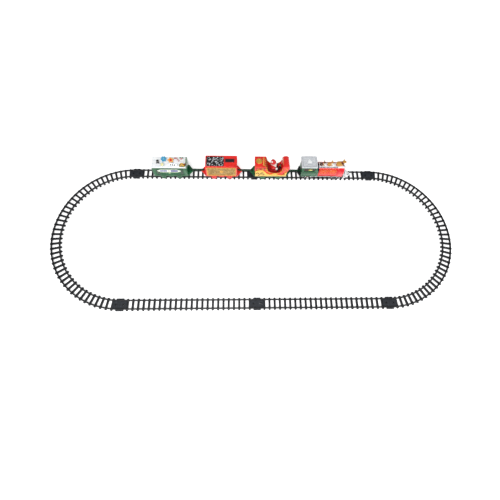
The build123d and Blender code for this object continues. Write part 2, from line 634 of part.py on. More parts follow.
ROOF_TOP = 69.6
ROOF_X, ROOF_LENGTH = 146.5, 44.0
with BuildPart() as cab_roof:
    with BuildSketch(deck_plane(ROOF_X, CAB_TOP + 0.1)):
        RectangleRounded(ROOF_LENGTH, 2 * CAB_HALF + 1.6, 3.0)
    extrude(amount=ROOF_TOP - CAB_TOP - 0.1)
    chamfer(cab_roof.edges().group_by(Axis.Z)[-1], 0.8)
    with BuildSketch(deck_plane(ROOF_X, ROOF_TOP)):
        RectangleRounded(ROOF_LENGTH - 8.0, 2 * CAB_HALF - 6.0, 2.0)
    extrude(amount=-0.5, mode=Mode.SUBTRACT)
    with BuildSketch(deck_plane(ROOF_X + 1.0, CAB_TOP + 0.1)):
        Rectangle(34.0, 2 * (CAB_HALF - WALL) - 0.6)
        Rectangle(31.0, 2 * (CAB_HALF - WALL) - 3.6, mode=Mode.SUBTRACT)
    extrude(amount=-1.6)
save(cab_roof, "loco_cab_roof")

KNOB_REST = -SWITCH_TRAVEL / 2
with BuildPart() as power_switch:
    with BuildSketch(end_plane(126.2)):
        with Locations((KNOB_REST, SWITCH_Z)):
            Rectangle(KNOB_WIDTH, KNOB_HEIGHT)
    extrude(amount=4.0)
    with BuildSketch(end_plane(129.8)):
        with Locations((KNOB_REST, SWITCH_Z)):
            Rectangle(14.0, 7.0)
    extrude(amount=1.2)
save(power_switch, "loco_power_switch")

BOILER_R = 17.0
BOILER_IN = 15.6
BOILER_Z = 39.5
SMOKEBOX_R = 17.6
SHELL_SPLIT = BOILER_Z + BOILER_R * sin(radians(40))
BOILER_START, SMOKEBOX_START, SMOKEBOX_END = 175.8, 228.0, 246.0
HOOP_LOW = 42.0


def barrel_section(x, r, inner, low, high):
    """Upright U-shaped section of the boiler between two heights."""
    with BuildSketch(end_plane(x)) as outline:
        with Locations((0, BOILER_Z)):
            Circle(r)
        with Locations((0, (BASE_Z + BOILER_Z) / 2)):
            Rectangle(2 * r, BOILER_Z - BASE_Z)
        if inner:
            with Locations((0, BOILER_Z)):
                Circle(inner, mode=Mode.SUBTRACT)
            with Locations((0, (BASE_Z + BOILER_Z) / 2 - 1)):
                Rectangle(2 * inner, BOILER_Z - BASE_Z + 2, mode=Mode.SUBTRACT)
        with Locations((0, (low + high) / 2)):
            Rectangle(4 * r, high - low, mode=Mode.INTERSECT)
    return outline.sketch


with BuildPart() as boiler_shell:
    extrude(barrel_section(BOILER_START, BOILER_R, BOILER_IN, BASE_Z, SHELL_SPLIT),
            amount=SMOKEBOX_START - BOILER_START)
    for x in (BOILER_START + 0.6, 203.0, 224.0):
        extrude(barrel_section(x, BOILER_R + 0.5, BOILER_IN, BASE_Z + 1.5, SHELL_SPLIT), amount=1.6)
    # hoops under the crown join the two sides
    for x in (BOILER_START + 1.0, SMOKEBOX_START - 4.0):
        extrude(barrel_section(x, BOILER_IN - 0.1, BOILER_IN - 1.4, HOOP_LOW, 60.0), amount=3.0)
        extrude(barrel_section(x, BOILER_IN + 0.4, BOILER_IN - 1.4, HOOP_LOW, SHELL_SPLIT - 0.1),
                amount=3.0)
save(boiler_shell, "loco_boiler_shell")

with BuildPart() as smokebox:
    extrude(barrel_section(SMOKEBOX_START + 0.1, SMOKEBOX_R, BOILER_IN, BASE_Z, SHELL_SPLIT),
            amount=SMOKEBOX_END - SMOKEBOX_START - 0.1)
    with BuildSketch(deck_plane(SHELL_SCREWS[2][0], BASE_Z)):
        Circle(3.2)
        Rectangle(2.0, 2 * BOILER_IN + 1.0)
        Circle(SCREW_R + 0.05, mode=Mode.SUBTRACT)
    extrude(amount=11.0)
save(smokebox, "loco_smokebox")

TOP_LOW = SHELL_SPLIT + 0.1
with BuildPart() as boiler_top:
    extrude(barrel_section(BOILER_START, BOILER_R + 0.2, BOILER_IN, TOP_LOW, 60.0),
            amount=SMOKEBOX_START - BOILER_START)
    extrude(barrel_section(SMOKEBOX_START, SMOKEBOX_R + 0.2, BOILER_IN, TOP_LOW, 60.0),
            amount=SMOKEBOX_END - SMOKEBOX_START)
save(boiler_top, "loco_boiler_top")

LAMP_Z = 44.0
LAMP_R = 4.2
CAP_R = 17.0
with BuildPart() as front_cap:
    with BuildSketch(Plane(origin=(0, TRACK_Y, BOILER_Z), x_dir=(1, 0, 0), z_dir=(0, -1, 0))):
        with BuildLine():
            Polyline((SMOKEBOX_END + 0.1, 0), (SMOKEBOX_END + 0.1, CAP_R))
            ThreePointArc((SMOKEBOX_END + 0.1, CAP_R), (SMOKEBOX_END + 2.2, 0.8 * CAP_R),
                          (SMOKEBOX_END + 3.4, 0.5 * CAP_R))
            Polyline((SMOKEBOX_END + 3.4, 0.5 * CAP_R), (SMOKEBOX_END + 3.4, 0),
                     (SMOKEBOX_END + 0.1, 0))
        make_face()
    revolve(axis=Axis((0, TRACK_Y, BOILER_Z), (1, 0, 0)))
    with BuildSketch(end_plane(SMOKEBOX_END + 0.1)):
        with Locations((0, (BASE_Z + BOILER_Z) / 2)):
            Rectangle(2 * CAP_R - 4.0, BOILER_Z - BASE_Z)
    extrude(amount=2.0)
    with BuildSketch(end_plane(SMOKEBOX_END + 0.1)):
        with Locations((0, (BASE_Z - 20) / 2)):
            Rectangle(60, BASE_Z + 20)
    extrude(amount=10.0, mode=Mode.SUBTRACT)
    with BuildSketch(end_plane(SMOKEBOX_END + 1.2)):
        with Locations((0, LAMP_Z)):
            Circle(LAMP_R + 0.1)
    extrude(amount=6.0, mode=Mode.SUBTRACT)
save(front_cap, "loco_front_cap")

with BuildPart() as headlamp:
    with BuildSketch(end_plane(SMOKEBOX_END + 1.2)):
        with Locations((0, LAMP_Z)):
            Circle(LAMP_R)
    extrude(amount=5.0)
    fillet(headlamp.edges().group_by(Axis.X)[-1], 1.8)
save(headlamp, "loco_headlamp")

# Cowcatcher: a wedge of slats between a top rail and a bottom rail
PILOT_TOP_Z, PILOT_LOW_Z = 31.0, 10.6
PILOT_HALF = 15.0
PILOT_NOSE_TOP, PILOT_NOSE_LOW = 258.0, 277.5
PILOT_SLATS = 5
BAR_R = 1.1


def bar(start, stop, r):
    """Round bar between two points of the current part."""
    start, stop = Vector(*start), Vector(*stop)
    with BuildSketch(Plane(origin=start, z_dir=(stop - start).normalized())) as outline:
        Circle(r)
    extrude(outline.sketch, amount=(stop - start).length)


def pilot_point(share, top):
    """A point of a rail, share running from -1 at one side through the nose to 1."""
    nose = PILOT_NOSE_TOP if top else PILOT_NOSE_LOW
    back = LOCO_FRONT + 1.6
    return (nose + (back - nose) * abs(share), TRACK_Y + PILOT_HALF * share,
            PILOT_TOP_Z if top else PILOT_LOW_Z)


with BuildPart() as cowcatcher:
    with BuildSketch(deck_plane(LOCO_FRONT + 1.4, DECK_LOW)):
        Rectangle(2.6, 2 * PILOT_HALF + 2.0)
    extrude(amount=DECK_TOP - DECK_LOW)
    for top in (True, False):
        for side in (-1, 1):
            bar(pilot_point(side, top), pilot_point(0, top), BAR_R)
        with Locations(pilot_point(0, top), pilot_point(-1, top), pilot_point(1, top)):
            Sphere(BAR_R)
    for slat in range(2 * PILOT_SLATS + 1):
        share = slat / PILOT_SLATS - 1
        bar(pilot_point(share, True), pilot_point(share, False), BAR_R * 0.8)
save(cowcatcher, "loco_cowcatcher")

with BuildPart() as circuit_board:
    with BuildSketch(deck_plane(198.0, 44.0)):
        RectangleRounded(26.0, 18.0, 1.0)
        with GridLocations(21.0, 13.0, 2, 2):
            Circle(1.1, mode=Mode.SUBTRACT)
    extrude(amount=1.2)
    with BuildSketch(deck_plane(196.0, 45.2)):
        Circle(3.4)
        with Locations((8.5, 3.0)):
            Rectangle(3.0, 5.0)
        with Locations((-8.0, -3.0)):
            Rectangle(4.0, 3.0)
    extrude(amount=1.6)
save(circuit_board, "loco_circuit_board")

with BuildPart() as speaker:
    with BuildSketch(deck_plane(147.0, 57.0)):
        Circle(8.0)
    extrude(amount=3.4)
    with BuildSketch(deck_plane(147.0, 60.4)):
        Circle(10.5)
    extrude(amount=1.6)
    with BuildSketch(deck_plane(147.0, 62.0)):
        Circle(8.6)
    extrude(amount=-0.8, mode=Mode.SUBTRACT)
save(speaker, "loco_speaker")


# ---------------------------------------------------------------- figures on the boiler

# Place along the boiler, then how much each is stretched along the train and upwards
REINDEER = {"rear": (183.3, 0.75, 0.80), "middle": (204.3, 0.80, 0.88), "front": (233.0, 1.40, 1.12)}
BOILER_CROWN = BOILER_Z + BOILER_R + 0.2
FRONT_STEP = 0.6                          # the smokebox stands this much above the boiler

# A lying reindeer seen from the side: x forward, z up from the crown, and half its width
DEER_PARTS = (
    (4.4, ((-9.0, -2.0), (-9.0, 3.5), (-7.5, 8.0), (-3.0, 9.6), (3.0, 9.4), (6.4, 7.0), (7.4, 3.2),
           (9.0, 1.6), (9.0, -2.0))),
    (2.6, ((1.0, 5.0), (2.6, 13.0), (4.6, 16.4), (7.6, 16.4), (11.4, 14.2), (11.6, 12.4),
           (8.2, 11.6), (6.8, 5.0))),
    (3.8, ((2.6, 13.0), (1.4, 17.0), (3.0, 19.4), (5.8, 19.4), (7.4, 16.0), (5.6, 14.0))),
)


def reindeer(name, x, stretch, rise):
    """A lying reindeer facing forward on a base that follows the boiler's crown."""
    crown = BOILER_CROWN + (FRONT_STEP if name == "front" else 0)
    with BuildPart() as figure:
        with BuildSketch(deck_plane(x, crown - 2.2)):
            RectangleRounded(18 * stretch, 11.0, 2.0)
        extrude(amount=3.4)
        for half_width, side_view in DEER_PARTS:
            half = half_width * rise
            with BuildSketch(side_plane(x, half, crown)):
                with BuildLine():
                    Polyline(*((dx * stretch, dz * rise) for dx, dz in side_view), close=True)
                make_face()
            extrude(amount=2 * half)
        with BuildSketch(end_plane(x - 30)):
            with Locations((0, BOILER_Z)):
                Circle(crown - BOILER_Z + 0.05)
        extrude(amount=60, mode=Mode.SUBTRACT)
    save(figure, f"loco_reindeer_{name}")


for place, (figure_x, figure_stretch, figure_rise) in REINDEER.items():
    reindeer(place, figure_x, figure_stretch, figure_rise)


# ---------------------------------------------------------------- green wagon

TUB_TOP = 59.0
TUB_GABLE_TOP = 70.0
LEDGE_Z = 52.0
with BuildPart() as tub:
    with BuildSketch(deck_plane(GREEN_X, BASE_Z)):
        Rectangle(2 * GREEN_HALF, 2 * HALF_WIDTH)
    extrude(amount=TUB_TOP - BASE_Z)
    fillet(tub.edges().filter_by(Axis.Z), 1.4)
    with BuildSketch(deck_plane(GREEN_X, BASE_Z)):
        Rectangle(2 * (GREEN_HALF - WALL), 2 * (HALF_WIDTH - WALL))
    extrude(amount=TUB_TOP - BASE_Z, mode=Mode.SUBTRACT)
    # ledge that carries the load
    with BuildSketch(deck_plane(GREEN_X, LEDGE_Z - 1.4)):
        Rectangle(2 * GREEN_HALF - 2.0, 2 * HALF_WIDTH - 2.0)
        Rectangle(2 * GREEN_HALF - 12.0, 2 * HALF_WIDTH - 12.0, mode=Mode.SUBTRACT)
    extrude(amount=1.4)
    # gable at the front end
    with BuildSketch(end_plane(GREEN_X + GREEN_HALF - WALL)):
        with BuildLine():
            Polyline((-HALF_WIDTH + 1, TUB_TOP - 6), (-HALF_WIDTH + 1, TUB_TOP + 2),
                     (-11.0, TUB_GABLE_TOP), (11.0, TUB_GABLE_TOP), (HALF_WIDTH - 1, TUB_TOP + 2),
                     (HALF_WIDTH - 1, TUB_TOP - 6), close=True)
        make_face()
    extrude(amount=WALL)
    # corner posts, sill and rim on both sides
    for side in (-1, 1):
        outer = HALF_WIDTH + 0.7 if side > 0 else -HALF_WIDTH + 0.3
        with BuildSketch(side_plane(GREEN_X, outer, 0)):
            with Locations((0, TUB_TOP - 1.2), (0, BASE_Z + 2.0)):
                Rectangle(2 * GREEN_HALF - 3.0, 2.2)
            with Locations((GREEN_HALF - 5.0, 42.0), (-GREEN_HALF + 5.0, 42.0)):
                Rectangle(7.0, 33.0)
        extrude(amount=1.0)
save(tub, "green_wagon_tub")

PLAQUE_Z = 47.5
with BuildPart() as green_plaques:
    for side in (-1, 1):
        outer = HALF_WIDTH + 1.1 if side > 0 else -HALF_WIDTH - 0.05
        with BuildSketch(side_plane(GREEN_X - 1.5, outer, PLAQUE_Z)):
            RectangleRounded(64.0, 15.0, 4.0)
            with Locations((0, -9.4)):
                Circle(6.0)
            with Locations((0, -12.4)):
                Rectangle(16, 10, mode=Mode.SUBTRACT)
        extrude(amount=1.05)
save(green_plaques, "green_wagon_plaques")

SNOW_TOP = 61.5
with BuildPart() as snow_load:
    with BuildSketch(deck_plane(GREEN_X, LEDGE_Z + 0.05)):
        Rectangle(2 * (GREEN_HALF - WALL) - 0.4, 2 * (HALF_WIDTH - WALL) - 0.4)
    extrude(amount=SNOW_TOP - LEDGE_Z)
    fillet(snow_load.edges().group_by(Axis.Z)[-1], 3.0)
    with BuildSketch(deck_plane(GREEN_X, LEDGE_Z + 0.05)):
        Rectangle(2 * GREEN_HALF - 16.0, 2 * HALF_WIDTH - 16.0)
    extrude(amount=5.0, mode=Mode.SUBTRACT)
save(snow_load, "green_wagon_snow_load")

# Toys stand in the snow: x from the wagon's middle, y from the centreline, size
TOY_SINK = 0.05
TOY_FLOOR = SNOW_TOP + TOY_SINK
with BuildPart() as toys:
    # lamp figure, snowflake, small star, big star, cane, bear, ball, banner
    for x, y, r, height in ((-29.5, -1.0, 2.6, 9.0), (36.5, -8.5, 2.6, 5.2)):
        with BuildSketch(deck_plane(GREEN_X + x, TOY_FLOOR, y)):
            Circle(r)
        extrude(amount=height)
    for x, y, r, height in ((-16.0, 6.5, 7.5, 9.0), (-18.5, -9.5, 5.0, 5.5), (4.5, 3.5, 7.0, 9.0)):
        with BuildSketch(deck_plane(GREEN_X + x, TOY_FLOOR, y)):
            RegularPolygon(r, 6)
        extrude(amount=height)
    with BuildSketch(deck_plane(GREEN_X + 23.0, TOY_FLOOR, 7.5)):
        Rectangle(6.0, 9.0)
    extrude(amount=9.0)
    with BuildSketch(deck_plane(GREEN_X + 28.0, TOY_FLOOR, -9.5)):
        RectangleRounded(11.0, 8.0, 2.0)
    extrude(amount=9.0)
    with BuildSketch(deck_plane(GREEN_X + 5.0, TOY_FLOOR, -11.0)):
        Rectangle(26.0, 5.0)
    extrude(amount=3.5)
save(toys, "green_wagon_toys")


# ---------------------------------------------------------------- red wagon

ROOF_Z = 67.4
with BuildPart() as red_box:
    with BuildSketch(deck_plane(RED_X, BASE_Z)):
        Rectangle(2 * RED_HALF, 2 * HALF_WIDTH)
    extrude(amount=ROOF_Z - BASE_Z)
    fillet(red_box.edges().filter_by(Axis.Z), 1.6)
    chamfer(red_box.edges().group_by(Axis.Z)[-1], 0.8)
    with BuildSketch(deck_plane(RED_X, BASE_Z)):
        Rectangle(2 * (RED_HALF - WALL), 2 * (HALF_WIDTH - WALL))
    extrude(amount=ROOF_Z - BASE_Z - WALL, mode=Mode.SUBTRACT)
save(red_box, "red_wagon_box")

PANEL_T = 0.5
with BuildPart() as roof_panels:
    with BuildSketch(deck_plane(RED_X, ROOF_Z + 0.02)):
        with Locations((-16.4, -0.5)):
            Rectangle(47.0, 31.0)
        with Locations((21.6, 2.5)):
            Rectangle(28.0, 12.0)
    extrude(amount=PANEL_T)
save(roof_panels, "red_wagon_roof_panels")

with BuildPart() as red_plaques:
    for side in (-1, 1):
        outer = HALF_WIDTH + 1.3 if side > 0 else -HALF_WIDTH - 0.05
        with BuildSketch(side_plane(RED_X, outer, 45.6)):
            RectangleRounded(79.0, 39.0, 1.5)
        extrude(amount=1.25)
        face = HALF_WIDTH + 1.3 if side > 0 else -HALF_WIDTH - 0.9
        with BuildSketch(side_plane(RED_X, face, 45.6)):
            RectangleRounded(72.0, 32.0, 1.0)
        extrude(amount=0.4, mode=Mode.SUBTRACT)
save(red_plaques, "red_wagon_plaques")


# ---------------------------------------------------------------- sleigh wagon

BAND_IN, BAND_OUT = 17.1, 18.3
SLEIGH_FLOOR = 26.6
band_edge = ((1, 48), (26, 47), (33, 38), (42, 32.5), (50, 36), (55, 39), (60, 36), (68, 30), (76, 30),
             (82, 38), (87, 45.5))
with BuildPart() as sleigh_base:
    with BuildSketch(deck_plane(SLEIGH_X, BASE_Z)):
        Rectangle(86.0, 2 * BAND_OUT)
        with GridLocations(WHEELBASE, FLANGE_IN + TREAD_OUT, 2, 2):
            Rectangle(2 * FLANGE_R + 1.6, TREAD_OUT - FLANGE_IN + 1.6, mode=Mode.SUBTRACT)
    extrude(amount=SLEIGH_FLOOR - BASE_Z)
    for side in (-1, 1):
        with BuildSketch(side_plane(0, BAND_OUT if side > 0 else -BAND_IN, 0)):
            with BuildLine():
                Spline(*band_edge)
                Polyline(band_edge[-1], (87, BASE_Z), (1, BASE_Z), band_edge[0])
            make_face()
        extrude(amount=BAND_OUT - BAND_IN)
save(sleigh_base, "sleigh_wagon_base")

SLEIGH_HALF_WIDTH = 17.0
SLEIGH_INSIDE = 15.2
BLOCK_TOP = 67.5
SEAT_Z = 31.0
with BuildPart() as sleigh_body:
    with BuildSketch(side_plane(0, SLEIGH_HALF_WIDTH, 0)):
        with BuildLine():
            Polyline((3, SLEIGH_FLOOR + 0.05), (85, SLEIGH_FLOOR + 0.05), (89, 46), (93, 60))
            ThreePointArc((93, 60), (89.5, 68.5), (82, 70.5))
            ThreePointArc((82, 70.5), (76.6, 68.4), (74.8, 64))
            Spline((74.8, 64), (73.6, 48), (66, 38.5), (55, 36.5), (44, 39), (35, 48), (29.0, BLOCK_TOP))
            Polyline((29.0, BLOCK_TOP), (-1.5, BLOCK_TOP), (-1, 48.4), (3, 48.2),
                     (3, SLEIGH_FLOOR + 0.05))
        make_face()
    extrude(amount=2 * SLEIGH_HALF_WIDTH)
    # the seat well
    with BuildSketch(side_plane(0, SLEIGH_INSIDE, 0)):
        with BuildLine():
            Polyline((33, SEAT_Z), (73.6, SEAT_Z), (73.6, 72), (27.5, 72), close=True)
        make_face()
    extrude(amount=2 * SLEIGH_INSIDE, mode=Mode.SUBTRACT)
    # hollow under the back block
    with BuildSketch(deck_plane(14.5, SLEIGH_FLOOR)):
        Rectangle(19.0, 2 * SLEIGH_INSIDE)
    extrude(amount=BLOCK_TOP - SLEIGH_FLOOR - 1.8, mode=Mode.SUBTRACT)
save(sleigh_body, "sleigh_wagon_body")

TRIM_LOW = BLOCK_TOP + 0.02
with BuildPart() as sleigh_trim:
    with BuildSketch(deck_plane(10.5, TRIM_LOW, 1.5)):
        Circle(8.6)
    extrude(amount=1.5)
    for y in (-9.0, 0.0, 9.0):
        with BuildSketch(deck_plane(23.0, TRIM_LOW, y)):
            Circle(3.6)
            Circle(1.9, mode=Mode.SUBTRACT)
        extrude(amount=1.5)
save(sleigh_trim, "sleigh_wagon_trim")

RIDER_X = 50.0
with BuildPart() as rider:
    with BuildSketch(Plane(origin=(RIDER_X, TRACK_Y, 0), x_dir=(1, 0, 0), z_dir=(0, -1, 0))):
        with BuildLine():
            Polyline((0, SEAT_Z + 0.3), (9.5, SEAT_Z + 0.3))
            Spline((9.5, SEAT_Z + 0.3), (10.2, 42), (7.8, 52), (5.0, 55.5))
            ThreePointArc((5.0, 55.5), (6.2, 60), (5.4, 64))
            Spline((5.4, 64), (4.2, 69.5), (1.6, 75))
            Line((1.6, 75), (0, 75))
            Line((0, 75), (0, SEAT_Z + 0.3))
        make_face()
    revolve(axis=Axis((RIDER_X, TRACK_Y, 0), (0, 0, 1)))
    for side in (-1, 1):
        bar((RIDER_X + 2, TRACK_Y + 6.0 * side, 51), (RIDER_X + 11, TRACK_Y + 7.6 * side, 47), 2.5)
        bar((RIDER_X + 2, TRACK_Y + 5.0 * side, 36), (RIDER_X + 13, TRACK_Y + 6.0 * side, 36), 3.4)
save(rider, "sleigh_rider")

with BuildPart() as sack:
    with BuildSketch(Plane(origin=(69.3, TRACK_Y, 0), x_dir=(1, 0, 0), z_dir=(0, -1, 0))):
        with BuildLine():
            Polyline((0, SEAT_Z + 0.3), (3.6, SEAT_Z + 0.3))
            Spline((3.6, SEAT_Z + 0.3), (4.2, 42), (3.2, 52), (1.6, 57))
            Polyline((1.6, 57), (0, 57), (0, SEAT_Z + 0.3))
        make_face()
    revolve(axis=Axis((69.3, TRACK_Y, 0), (0, 0, 1)))
save(sack, "sleigh_sack")
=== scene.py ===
"""A battery train on an oval of snap-together track: locomotive, sleigh wagon, red wagon and green wagon."""
from math import atan2, cos, pi, radians, sin

import bmesh
import bpy
import numpy
from mathutils import Matrix, Vector, noise


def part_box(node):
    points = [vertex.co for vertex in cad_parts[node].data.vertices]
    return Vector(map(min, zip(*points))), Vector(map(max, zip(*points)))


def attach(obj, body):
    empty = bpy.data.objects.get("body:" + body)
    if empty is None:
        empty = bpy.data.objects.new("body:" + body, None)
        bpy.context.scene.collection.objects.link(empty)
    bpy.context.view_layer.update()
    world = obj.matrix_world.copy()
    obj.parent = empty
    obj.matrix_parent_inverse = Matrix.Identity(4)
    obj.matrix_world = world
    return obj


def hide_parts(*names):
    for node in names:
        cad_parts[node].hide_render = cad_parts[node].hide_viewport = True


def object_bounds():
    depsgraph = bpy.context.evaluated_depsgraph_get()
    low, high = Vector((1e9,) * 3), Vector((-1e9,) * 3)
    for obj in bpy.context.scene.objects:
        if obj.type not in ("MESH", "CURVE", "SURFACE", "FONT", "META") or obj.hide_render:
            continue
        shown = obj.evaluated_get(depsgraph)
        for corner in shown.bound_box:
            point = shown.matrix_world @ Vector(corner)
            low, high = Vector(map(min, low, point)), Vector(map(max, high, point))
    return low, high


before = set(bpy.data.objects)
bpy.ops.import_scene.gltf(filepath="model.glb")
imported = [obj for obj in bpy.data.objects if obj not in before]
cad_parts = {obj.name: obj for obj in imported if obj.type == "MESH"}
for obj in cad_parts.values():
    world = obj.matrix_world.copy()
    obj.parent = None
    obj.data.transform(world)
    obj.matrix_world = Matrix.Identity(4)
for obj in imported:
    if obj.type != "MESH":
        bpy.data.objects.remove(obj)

CAD_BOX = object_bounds()
MM = 0.001
UP = Vector((0, 0, 1))


# ---------------------------------------------------------------- node trees

class Wire:
    """A node's output that can be written into sums; every operator adds one Math node."""

    def __init__(self, net, socket):
        self.net = net
        self.socket = socket

    def out(self, name):
        """Another output of the same node."""
        return Wire(self.net, self.socket.node.outputs[name])

    def sum(self, operation, *terms):
        return self.net.node("ShaderNodeMath", dict(enumerate(terms)), operation=operation)

    def __add__(self, other):
        return self.sum("ADD", self, other)

    def __radd__(self, other):
        return self.sum("ADD", other, self)

    def __sub__(self, other):
        return self.sum("SUBTRACT", self, other)

    def __rsub__(self, other):
        return self.sum("SUBTRACT", other, self)

    def __mul__(self, other):
        return self.sum("MULTIPLY", self, other)

    def __rmul__(self, other):
        return self.sum("MULTIPLY", other, self)

    def step(self, low, high):
        """0 below low, 1 above high and a smooth rise between them."""
        ranged = {"Value": self, "From Min": low, "From Max": high}
        return self.net.node("ShaderNodeMapRange", ranged, interpolation_type="SMOOTHSTEP")


class Net:
    """A node tree written one node at a time."""

    def __init__(self, tree):
        self.tree = tree

    def node(self, kind, values=None, out=0, **settings):
        """Adds a node: its settings first, then the values or wires of its sockets."""
        made = self.tree.nodes.new(kind)
        for name, value in settings.items():
            setattr(made, name, value)
        for key, value in (values or {}).items():
            if isinstance(value, Wire):
                self.tree.links.new(value.socket, made.inputs[key])
            else:
                made.inputs[key].default_value = value
        return Wire(self, made.outputs[out]) if made.outputs else None

    def blend(self, share, first, second):
        """The first colour turning into the second as share goes from 0 to 1."""
        colours = [c if isinstance(c, Wire) else (*c, 1) for c in (first, second)]
        values = {0: share, 6: colours[0], 7: colours[1]}
        return self.node("ShaderNodeMix", values, out=2, data_type="RGBA")

    def grain(self, where, size, detail=2.0, stretch=None):
        """Soft noise from 0 to 1, with lumps of that size in millimetres."""
        if stretch:
            where = self.node("ShaderNodeMapping", {"Vector": where, "Scale": stretch})
        values = {"Vector": where, "Scale": 1 / (size * MM), "Detail": detail}
        return self.node("ShaderNodeTexNoise", values)

    def speckle(self, where, size):
        """Distance from scattered points that lie about that many millimetres apart."""
        values = {"Vector": where, "Scale": 1 / (size * MM)}
        return self.node("ShaderNodeTexVoronoi", values, out="Distance")

    def relief(self, height, depth, strength=1.0):
        """A normal tilted by a height of that many millimetres."""
        values = {"Height": height, "Distance": depth * MM, "Strength": strength}
        return self.node("ShaderNodeBump", values)


def finish(draw, **constants):
    """A material: draw gives what varies over the surface, and constants stay on the shader's own sockets."""
    made = bpy.data.materials.new("finish")
    made.use_nodes = True
    made.node_tree.nodes.clear()
    net = Net(made.node_tree)
    where = net.node("ShaderNodeTexCoord", out="Object")
    varied = draw(net, where)
    fixed = {"Specular IOR Level": 0.35, **{key.replace("_", " "): value for key,
                                            value in constants.items()}}
    shader = net.node("ShaderNodeBsdfPrincipled", {**fixed, **varied}, out="BSDF")
    net.node("ShaderNodeOutputMaterial", {"Surface": shader})
    return made


def shade(colour, amount):
    """A colour made lighter or darker by a factor, kept below white."""
    return tuple(min(channel * amount, 1) for channel in colour)


# ---------------------------------------------------------------- finishes

def moulded(colour, rough=0.32, worn=0.25, pale=1.6, lump=16, **constants):
    """Injection-moulded plastic: faint flow clouds, fine orange peel and rubbed patches with scratches."""
    def draw(net, where):
        cloud = net.grain(where, lump, 3)
        peel = net.grain(where, 0.5)
        rubbed = net.grain(where, 5, 6).step(0.56, 0.75)
        hairs = net.grain(where, 2.4, 3, (1, 0.07, 0.3)).step(0.66, 0.72)
        tint = net.blend(cloud.step(0.3, 0.7), shade(colour, 0.86), shade(colour, 1.1))
        tint = net.blend(rubbed * worn + hairs * worn * 0.6, tint, shade(colour, pale))
        return {
            "Base Color": tint,
            "Roughness": rough + (cloud - 0.5) * 0.16 + rubbed * 0.14 + hairs * 0.1,
            "Normal": net.relief(peel + cloud * 0.6 - hairs * 0.5, 0.05, 0.5),
        }
    return finish(draw, **constants)


def painted(colour, rough=0.3, chip=None, **constants):
    """Brushed enamel: slight pooling, brush drag and, with a chip colour, spots worn down to it."""
    def draw(net, where):
        pool = net.grain(where, 3.2, 3)
        drag = net.grain(where, 0.9, 2, (1, 0.25, 0.25))
        tint = net.blend(pool.step(0.25, 0.75), shade(colour, 0.78), shade(colour, 1.14))
        if chip:
            bare = net.grain(where, 1.6, 5).step(0.66, 0.7)
            tint = net.blend(bare, tint, chip)
        return {
            "Base Color": tint,
            "Roughness": rough + (pool - 0.5) * 0.2,
            "Normal": net.relief(drag + pool * 2, 0.06, 0.6),
        }
    return finish(draw, **constants)


def metallic(bright, deep, rough=0.28, metal=0.75, brushed=(1, 1, 1), **constants):
    """Vacuum plating or metal: bright where it is rubbed, deeper and rougher where it has dulled."""
    def draw(net, where):
        dull = net.grain(where, 4.5, 5)
        fine = net.grain(where, 0.45, 2, brushed)
        return {
            "Base Color": net.blend(dull.step(0.35, 0.65), deep, bright),
            "Metallic": metal + (dull - 0.5) * 0.2,
            "Roughness": rough + (1 - dull) * 0.2 + fine * 0.08,
            "Normal": net.relief(fine + dull * 0.8, 0.04, 0.5),
        }
    return finish(draw, **constants)


def glassy(colour, rough=0.12, **constants):
    """Clear-tinted moulding with faint swirls and dust."""
    def draw(net, where):
        swirl = net.grain(where, 8, 2)
        dust = net.grain(where, 0.35, 3).step(0.62, 0.8)
        tint = net.blend(swirl, shade(colour, 0.8), shade(colour, 1.25))
        return {
            "Base Color": net.blend(dust * 0.25, tint, (0.7, 0.7, 0.68)),
            "Roughness": rough + dust * 0.3 + swirl * 0.05,
            "Normal": net.relief(swirl, 0.08, 0.3),
        }
    return finish(draw, **constants)


def snowy():
    """Flocked white resin: soft grains, with a painted cool shade where the drifts dip into hollows."""
    def draw(net, where):
        flock = net.grain(where, 0.55, 4)
        drift = net.grain(where, 6, 3)
        # the cool blue-grey where the drift noise is low is painted shade in the hollows of the bump
        tint = net.blend(drift.step(0.3, 0.62), (0.74, 0.79, 0.84), (0.93, 0.93, 0.92))
        return {
            "Base Color": net.blend(flock * 0.3, tint, (0.97, 0.97, 0.97)),
            "Roughness": 0.55 + flock * 0.3,
            "Normal": net.relief(flock + drift, 0.22, 0.8),
        }
    return finish(draw)


def hand_painted(rough=0.34):
    """Small figures: the colour comes from the piece's own paint attribute, with uneven brushwork on top."""
    def draw(net, where):
        paint = net.node("ShaderNodeAttribute", attribute_name="paint", out="Color")
        wash = net.grain(where, 1.8, 4)
        fine = net.grain(where, 0.4, 2)
        dark = net.blend(0.34, paint, (0, 0, 0))
        return {
            "Base Color": net.blend(wash.step(0.28, 0.55), dark, paint),
            "Roughness": rough + (wash - 0.5) * 0.25,
            "Normal": net.relief(fine + wash * 2, 0.07, 0.6),
        }
    return finish(draw, Coat_Weight=0.25, Coat_Roughness=0.2)


def speckled(colour, fleck):
    """Gloss black film printed with scattered pale flecks."""
    def draw(net, where):
        spots = (0.46 - net.speckle(where, 4.6)).step(0, 0.08)
        thin = net.grain(where, 4, 3).step(0.40, 0.52)
        mask = spots * thin
        cloud = net.grain(where, 9, 3)
        tint = net.blend(cloud.step(0.3, 0.7), shade(colour, 0.6), shade(colour, 1.5))
        return {
            "Base Color": net.blend(mask, tint, fleck),
            "Roughness": 0.22 + cloud * 0.15 + mask * 0.2,
            "Normal": net.relief(mask + cloud, 0.06, 0.5),
        }
    return finish(draw, Coat_Weight=0.3)


BLACK = (0.012, 0.013, 0.015)
TRACK = (0.010, 0.011, 0.013)
GREEN = (0.004, 0.105, 0.032)
DEEP_GREEN = (0.002, 0.036, 0.014)
RED = (0.76, 0.018, 0.012)
CRIMSON = (0.40, 0.010, 0.012)
WHITE = (0.86, 0.87, 0.87)
CREAM = (0.80, 0.66, 0.42)
GOLD = (0.84, 0.46, 0.08)
YELLOW = (0.86, 0.55, 0.09)

